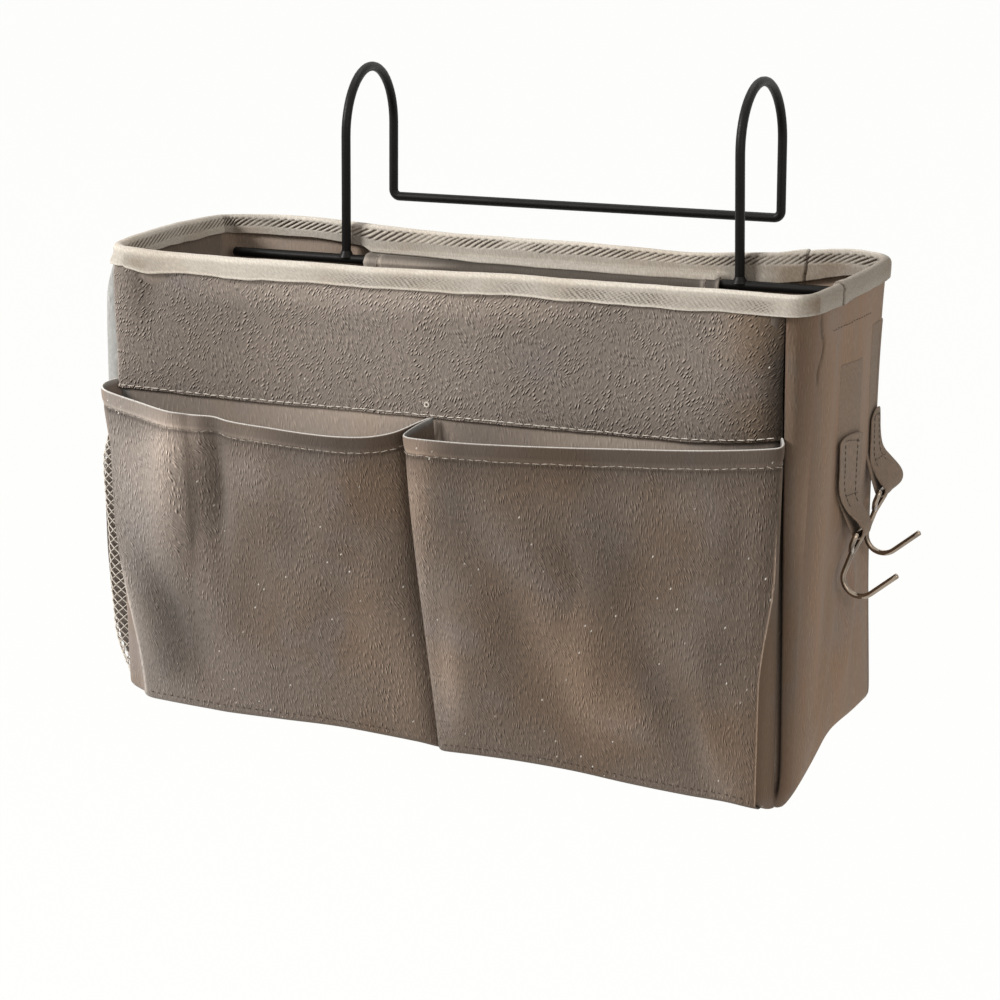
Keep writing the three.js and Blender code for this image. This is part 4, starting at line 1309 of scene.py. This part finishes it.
def makeNet():
    (wide, tall), foot, top = netShape["pitch"], netShape["foot"], netShape["top"]
    bm = bmesh.new()
    height = top - foot
    count = math.ceil(netLength / wide + height / tall) + 2
    bmesh.ops.create_grid(bm, x_segments=count, y_segments=count, size=0.5)
    flat = {}
    for v in bm.verts:
        i, j = round((v.co.x + 0.5) * count), round((v.co.y + 0.5) * count)
        flat[v] = (netLength / 2 + (i - j) * wide / 2, height / 2 + (i + j - count) * tall / 2)
    away = []
    for v, (way, up) in flat.items():
        inLength = -0.6 * wide < way < netLength + 0.6 * wide
        if not (inLength and -0.6 * tall < up < height + 0.6 * tall):
            away.append(v)
    bmesh.ops.delete(bm, geom=away, context="VERTS")
    for v in bm.verts:
        way, up = flat[v]
        v.co = netPoint(way, foot + clamp(up, 0, height)) * mm
    net = makePiece("net_pocket", bm, netYarn, replaces=("mesh_pocket_net",))
    strands = net.modifiers.new("strands", "WIREFRAME")
    strands.thickness = netShape["strand"] * mm
    strands.use_even_offset = False
    strands.use_boundary = True


def makeNetBand():
    foot, thick, band = netShape["top"] - 1.5, netShape["bandThick"], netShape["band"]
    profile = [
        (0, foot), (thick, foot), (thick + 0.2, foot + 1), (thick + 0.2, foot + band - 1.2),
        (thick * 0.8, foot + band), (thick * 0.2, foot + band), (-0.2, foot + band - 1.2), (-0.2, foot + 1),
        (0, foot),
    ]
    ways = steps(0, netLength, 2.2)
    bm = clothGrid(
        ways, profile, lambda way, row: netPoint(way, row[1], row[0] - 0.6), ways,
        [0, 2, 3, 10, 12, 13, 15, 22, 24], joined=True,
    )
    bmesh.ops.holes_fill(bm, edges=[e for e in bm.edges if e.is_boundary])
    bmesh.ops.recalc_face_normals(bm, faces=bm.faces[:])
    band = makePiece("net_hem", bm, netYarn, replaces=("mesh_pocket_band",))


# casing on the inside of the back wall, with the rod through it
rodShape = dict(y=42.5, z=171.0, half=141.0, radius=2.0)
casingShape = dict(
    left=-77.4, right=80.5, hem=7.0, cloth=0.8, ridge=171.4,
    line=(
        (47.8, 174.6), (46.2, 174.3), (44.4, 174.0), (42.4, 173.9), (40.7, 173.2), (39.5, 171.6),
        (39.1, 169.2), (39.4, 166.6), (40.8, 163.4), (44.2, 161.2), (47.6, 160.2),
    ),
)


def makeCasing():
    shape = casingShape
    line = [(*p, 0) for p in shape["line"]]
    spots = pathSpots(line, 1.0)
    left, right, hem = shape["left"], shape["right"], shape["hem"]
    xs = (
        [left, left + 0.6] + steps(left + 1.2, left + hem, 0.9) + [left + hem + 0.5]
        + steps(left + hem + 1.4, right - hem - 1.4, 3)
    )
    xs += [right - hem - 0.5] + steps(right - hem, right - 1.2, 0.9) + [right - 0.6, right]

    def fromEnd(x):
        return min(x - left, right - x)

    def ridgeAt(x, at, width):
        return bell(at.y, shape["ridge"] + 0.01 * x, width) * (1 - ease(-48, -30, x))

    def place(x, s):
        at = alongPath(line, s)
        strip = 0.35 if fromEnd(x) < hem else 0.0
        ridge = 0.6 * ridgeAt(x, at, 0.7)
        crumple = 0.35 * ripple(x / 15, s, 2.6) * (0 if strip else 1)
        return Vector((x, at.x - (strip + ridge + crumple) * ease(46.5, 44.0, at.x), at.y))

    # painted highlights on the edges of the turned ends and on the ridge where the cloth is gathered; painted
    # shade from near the left end rightwards and just under the tape
    def tone(x, s):
        at = alongPath(line, s)
        edges = bell(fromEnd(x), 0.6, 0.9) + bell(fromEnd(x), hem + 0.2, 0.8)
        ridge = ridgeAt(x, at, 0.6) if fromEnd(x) > hem else 0.0
        lit = mix(1.05, 0.42, ease(-68, -28, x)) + 0.7 * edges + 0.5 * ridge
        return lit * (1 - 0.5 * ease(171.6, 173.4, at.y))

    marks = {"tone": tone, "warm": lambda x, s: 0.0, "weave": lambda x, s: 0.6}
    bm = clothGrid(xs, spots, place, xs, pathLengths(line, spots), False, marks)
    bmesh.ops.reverse_faces(bm, faces=bm.faces[:])
    casing = makePiece("rod_casing", bm, liningCanvas, replaces=("rod_sleeve",))
    thicken(casing, shape["cloth"])
    for tag, x in (("left", left + hem - 1.2), ("right", right - hem + 1.2)):
        row = [(place(x, s), (0, -1, 0)) for s in spots[5:-4]]
        stitchRow("casing_stitches_" + tag, row, seamThread, pitch=2.6, length=1.9, width=0.4)


# hanger: rod and bent wire, welded where the feet meet the rod
hangerShape = dict(
    left=(-87.2, -86.4, -89.4, -90.0), right=(88.3, 86.9, 88.0, 88.2), back=96.5, apex=250.0, bar=191.0,
    wire=2.0, arch=26.9, barBend=3.0,
)
weldShape = dict(lift=2.2, foot=3.3, tip=2.1, tall=2.6, bevel=0.35)


def makeHanger():
    y, z, shape = rodShape["y"], rodShape["z"], hangerShape
    ends = [(-rodShape["half"], y, z), (rodShape["half"], y, z)]
    wirePiece(
        "hanger_rod", ends, (), rodShape["radius"], blackCoat, "hanger", ("support_rod",),
        ends=(0.7, 0.7),
    )
    back, apex, bar = shape["back"], shape["apex"], shape["bar"]
    heights = ((y, z), (y, apex), (back, apex), (back, bar))
    corners = (
        [(x, *at) for x, at in zip(shape["left"], heights)]
        + [(x, *at) for x, at in zip(shape["right"][::-1], heights[::-1])]
    )
    bends = (shape["arch"], shape["arch"], shape["barBend"], shape["barBend"], shape["arch"], shape["arch"])
    wirePiece(
        "hanger_bow", corners, bends, shape["wire"], blackCoat, "hanger", ("hanger_wire",),
        ends=(1.0, 1.0),
    )
    bm = bmesh.new()
    for x in (shape["left"][0], shape["right"][0]):
        spot = Matrix.Translation(Vector((x, y, z + weldShape["lift"])) * mm)
        foot, tip, tall = (weldShape[k] * mm for k in ("foot", "tip", "tall"))
        bmesh.ops.create_cone(bm, segments=20, radius1=foot, radius2=tip, depth=tall, matrix=spot)
    softened = dict(offset=weldShape["bevel"] * mm, affect="EDGES", segments=2, profile=0.5, material=-1)
    bmesh.ops.bevel(bm, geom=bm.edges[:], clamp_overlap=True, **softened)
    makePiece("hanger_welds", bm, blackCoat, body="hanger")


# straps on the right side: each lies on the wall, leaves it, folds round the hook's eye and comes back up.
# Its two edges are given from the eye: x, y, z along the laid part, then along the returned end.
strapShape = dict(cloth=0.9, standOff=9.8, drop=67.5, fold=2.05, grip=5.2, lie=-0.2, layer=1.6)
strapPlaces = (
    dict(
        name="front", y=4.0, top=152.0, area=0.0022,
        laid=(
            ((-9, -11, 67), (-9, 10, 67)), ((-9, -11, 44), (-9, 10, 44)), ((-9, -10.6, 26), (-9, 9.4, 26)),
            ((-8, -10, 18), (-8, 8.6, 18)), ((-5.0, -6.4, 7), (-5.0, 6.4, 7)),
        ),
        end=(
            ((2.2, -5.6, 2.6), (2.4, 5.8, 2.8)), ((-0.6, -6.8, 6.0), (0.2, 6.6, 6.2)),
            ((-3.6, -9.6, 10.5), (-2.8, 8.2, 11)), ((-5.4, -12.4, 17), (-5.0, 9.4, 18)),
            ((-5.6, -12.6, 28), (-5.6, 9.6, 28)), ((-5.6, -12.6, 38.8), (-5.6, 9.6, 38.8)),
        ),
    ),
    dict(
        name="rear", y=35.0, top=162.0, area=0.0017,
        laid=(
            ((-9, -6, 67), (-9, 10.4, 67)), ((-9, -6, 45), (-9, 10.4, 45)), ((-9, -3, 26), (-9, 10.4, 26)),
            ((-8, -2.4, 17), (-8, 10, 17)), ((-4.6, -4.6, 7), (-4.4, 6.4, 8)),
        ),
        end=(
            ((1.8, -5.2, 1.0), (5.0, 8.4, 2.4)), ((-1.2, -4.4, 4.2), (4.4, 9.8, 6.4)),
            ((-3.9, -3.2, 8.0), (-0.4, 10.2, 11.4)), ((-5.4, -2.4, 12), (-3.8, 10.4, 15.2)),
            ((-5.5, -3.0, 22), (-5.4, 10.8, 24)), ((-5.5, -3.4, 30.0), (-5.5, 9.4, 33)),
        ),
    ),
)


def wallX(y, z):
    start, stop = bagShape["front"] + cornerRadii(z)[2], bagShape["back"] - cornerRadii(z)[3]
    return hang(halfWidth(z) + wallBulge(6, clamp((y - start) / (stop - start)), z), y, z).x


def eyeOf(place):
    z = place["top"] - strapShape["drop"]
    return Vector((halfWidth(z) + strapShape["standOff"], place["y"], z))


def makeStrap(place):
    eye, radius, grip = eyeOf(place), strapShape["fold"], strapShape["grip"]
    turns = [math.radians(a) for a in (195, 232, 270, 308, 345)]
    edges = []
    for k, y in ((0, -grip), (1, grip)):
        around = [(radius * math.cos(a), y, radius * math.sin(a)) for a in turns]
        edges.append(
            [
                eye + Vector(p)
                for p in [row[k] for row in place["laid"]] + around + [row[k] for row in place["end"]]
            ]
        )
    spots = pathSpots(edges[0], 1.5)
    firstEnd, last = len(place["laid"]) + len(turns), len(edges[0]) - 1

    def ribbon(across, s):
        at = alongPath(edges[0], s).lerp(alongPath(edges[1], s), (across + 1) / 2)
        tongue = ease(last - 0.8, last, s) * across * across
        at.z -= 1.6 * tongue
        over = strapShape["layer"] if s > firstEnd else 0.0
        cupped = 0.3 * (1 - across * across) + 0.25 * ripple(across * 1.5, at.z / 12, 3.9)
        at.x += cupped * ease(0, 3, abs(s - firstEnd + 3))
        at.x = max(at.x, wallX(min(at.y, 48), at.z) + strapShape["lie"] + over)
        return at

    bm = clothGrid(steps(-1, 1, 0.2), spots, ribbon, steps(-11, 11, 2.2), pathLengths(edges[0], spots))
    bmesh.ops.reverse_faces(bm, faces=bm.faces[:])
    strap = makePiece(
        place["name"] + "_webbing", bm, strapCanvas, replaces=(place["name"] + "_strap",)
    )
    thicken(strap, strapShape["cloth"], offset=0.0, levels=1)
    lift, out = Vector((strapShape["cloth"] / 2 + 0.15, 0, 0)), (1, 0, 0)
    outer = [s for s in spots if last - 3 <= s <= last - 0.2]
    box = [[(ribbon(across, s) + lift, out) for s in outer] for across in (-0.6, 0.35)]
    for s in (last - 0.25, last - 2.4):
        box.append([(ribbon(a, s - 0.2 * a) + lift, out) for a in steps(-0.65, 0.65, 0.2)])
    for i, row in enumerate(box):
        name = place["name"] + "_strap_stitches_" + str(i)
        stitchRow(name, row, darkThread, pitch=2.3, length=2.0, width=0.3)


hookShape = dict(
    wire=1.1, eyeWidth=14.0, eyeSide=4.5, eyeDrop=10.0, bend=1.6, shank=8.0, throat=7.0,
    turn=math.radians(149), tip=13.5, tilt=math.radians(20),
)


def makeHook(place):
    shape = hookShape
    half = shape["eyeWidth"] / 2
    closing = 2 * shape["wire"] + 0.6
    setback = shape["throat"] * math.tan(shape["turn"] / 2)
    corner = -shape["eyeDrop"] - shape["shank"] - setback
    reach, heading = setback + shape["tip"], shape["turn"] - math.pi / 2
    corners = [
        (0, -closing, -shape["eyeDrop"] + shape["bend"]), (0, -half, -shape["eyeSide"]), (0, -half, 0),
        (0, half, 0), (0, half, -shape["eyeSide"]),
        (0, 0, -shape["eyeDrop"]), (0, 0, corner),
        (reach * math.cos(heading), 0, corner + reach * math.sin(heading)),
    ]
    bends = [shape["bend"]] * 5 + [shape["throat"]]
    seat = Matrix.Translation(eyeOf(place)) @ Matrix.Rotation(shape["tilt"], 4, "Y")
    name = place["name"]
    node = name + "_side_hook"
    wirePiece(
        name + "_wire_hook", corners, bends, shape["wire"], nickel, name + "_hook", (node,),
        place=seat,
    )


# base board: a stiff lined slab with rounded edges, lying on the base
boardShape = dict(low=(-133.0, -41.0), high=(133.0, 43.0), foot=4.9, tilt=0.0035, thick=2.6, bevel=1.0)


def makeBoard():
    bm = bmesh.new()
    bmesh.ops.create_grid(bm, x_segments=12, y_segments=4, size=0.5)
    extruded = bmesh.ops.extrude_face_region(bm, geom=bm.faces[:])
    raised = [g for g in extruded["geom"] if isinstance(g, bmesh.types.BMVert)]
    bmesh.ops.translate(bm, verts=raised, vec=(0, 0, 1))
    bmesh.ops.recalc_face_normals(bm, faces=bm.faces[:])
    for v in bm.verts:
        x = mix(boardShape["low"][0], boardShape["high"][0], v.co.x + 0.5)
        y = mix(boardShape["low"][1], boardShape["high"][1], v.co.y + 0.5)
        v.co = Vector((x, y, boardShape["foot"] + boardShape["tilt"] * x + boardShape["thick"] * v.co.z)) * mm
    rim = [e for e in bm.edges if e.calc_face_angle(0) > 1.0]
    bmesh.ops.bevel(
        bm, geom=rim, offset=boardShape["bevel"] * mm, affect="EDGES", segments=3, profile=0.5, material=-1
    )
    makePiece("lined_board", bm, greyBoard, replaces=("base_board",))


makeShell()
print("shell ready")
makeBand()
makeTape()
print("band and binding ready")
makePocket(leftPocket, leftFolds)
makePocket(rightPocket, rightFolds)
print("front pockets ready")
makeNet()
makeNetBand()
makeCasing()
makeBoard()
print("net, casing and board ready")
makeHanger()
for strapPlace in strapPlaces:
    makeStrap(strapPlace)
    makeHook(strapPlace)
print("hanger, straps and hooks ready")


# camera, floor and light
viewShape = dict(
    place=(0.4348, -1.0269, 0.3576), ahead=(-0.3774, 0.8947, -0.2389), right=(0.9214, 0.3886, 0.0001),
    lens=101.39,
)


def setCamera():
    data = bpy.data.cameras.new("camera")
    data.sensor_width = 36
    data.lens = viewShape["lens"]
    data.clip_start, data.clip_end = 0.05, 50
    camera = bpy.data.objects.new("camera", data)
    scene.collection.objects.link(camera)
    back = -Vector(viewShape["ahead"]).normalized()
    right = Vector(viewShape["right"])
    right = (right - back * right.dot(back)).normalized()
    turn = Matrix((right, back.cross(right), back)).transposed().to_4x4()
    camera.matrix_world = Matrix.Translation(viewShape["place"]) @ turn
    scene.camera = camera


stageShape = dict(
    floor=-0.42, size=40.0, pale=(0.9, 0.9, 0.89, 1), white=(1, 1, 0.985, 1), glow=0.98, sky=0.24
)
lampShapes = (
    dict(
        name="key", place=(-2.4, -1.9, 1.85), aim=(0, 0, 0.1), size=0.9, power=128.0,
        colour=(1, 0.985, 0.965),
    ),
    dict(name="fill", place=(1.9, -1.5, 0.9), aim=(0, 0, 0.1), size=1.4, power=15.0, colour=(1, 0.91, 0.81)),
    dict(name="top", place=(-0.1, 0.5, 1.9), aim=(0, 0, 0.1), size=1.2, power=11.0, colour=(1, 0.985, 0.965)),
)


# shows the first shader to the light and the second, by the given share, to what is seen
def blendSeen(tree, share, first, second, output):
    light = addNode(tree, "ShaderNodeLightPath").outputs
    seen = mathNode(tree, "MAXIMUM", light["Is Camera Ray"], light["Is Glossy Ray"])
    seen = mathNode(tree, "MAXIMUM", seen, light["Is Transmission Ray"])
    blended = addNode(tree, "ShaderNodeMixShader")
    for socket, value in zip(blended.inputs, (mathNode(tree, "MULTIPLY", seen, share), first, second)):
        tree.links.new(value, socket)
    tree.links.new(blended.outputs[0], tree.nodes[output].inputs["Surface"])


def setStage():
    bm = bmesh.new()
    bmesh.ops.create_grid(bm, x_segments=1, y_segments=1, size=stageShape["size"])
    bmesh.ops.translate(bm, verts=bm.verts[:], vec=(0, 0, stageShape["floor"]))
    mesh = bpy.data.meshes.new("floor")
    bm.to_mesh(mesh)
    bm.free()
    material, tree, shader = newMaterial("pale floor")
    setShader(shader, Base_Color=stageShape["pale"], Roughness=0.9)
    glow = addNode(tree, "ShaderNodeEmission", Color=stageShape["white"], Strength=1.0)
    blendSeen(tree, stageShape["glow"], shader.outputs[0], glow.outputs[0], "Material Output")
    mesh.materials.append(material)
    floor = bpy.data.objects.new("floor", mesh)
    scene.collection.objects.link(floor)
    world = bpy.data.worlds.new("studio")
    world.use_nodes = True
    tree = world.node_tree
    sky = tree.nodes["Background"]
    setShader(sky, Strength=stageShape["sky"], Color=(1, 1, 1, 1))
    white = addNode(tree, "ShaderNodeBackground", Color=stageShape["white"], Strength=1.0)
    blendSeen(tree, 1.0, sky.outputs[0], white.outputs[0], "World Output")
    scene.world = world
    for shape in lampShapes:
        data = bpy.data.lights.new(shape["name"], "AREA")
        data.size = shape["size"]
        data.energy = shape["power"]
        data.color = shape["colour"]
        lamp = bpy.data.objects.new(shape["name"], data)
        scene.collection.objects.link(lamp)
        lamp.location = shape["place"]
        aim = Vector(shape["aim"]) - Vector(shape["place"])
        lamp.rotation_euler = aim.to_track_quat("-Z", "Y").to_euler()
    scene.view_settings.view_transform = "Standard"


setCamera()
setStage()
print("camera and light ready")
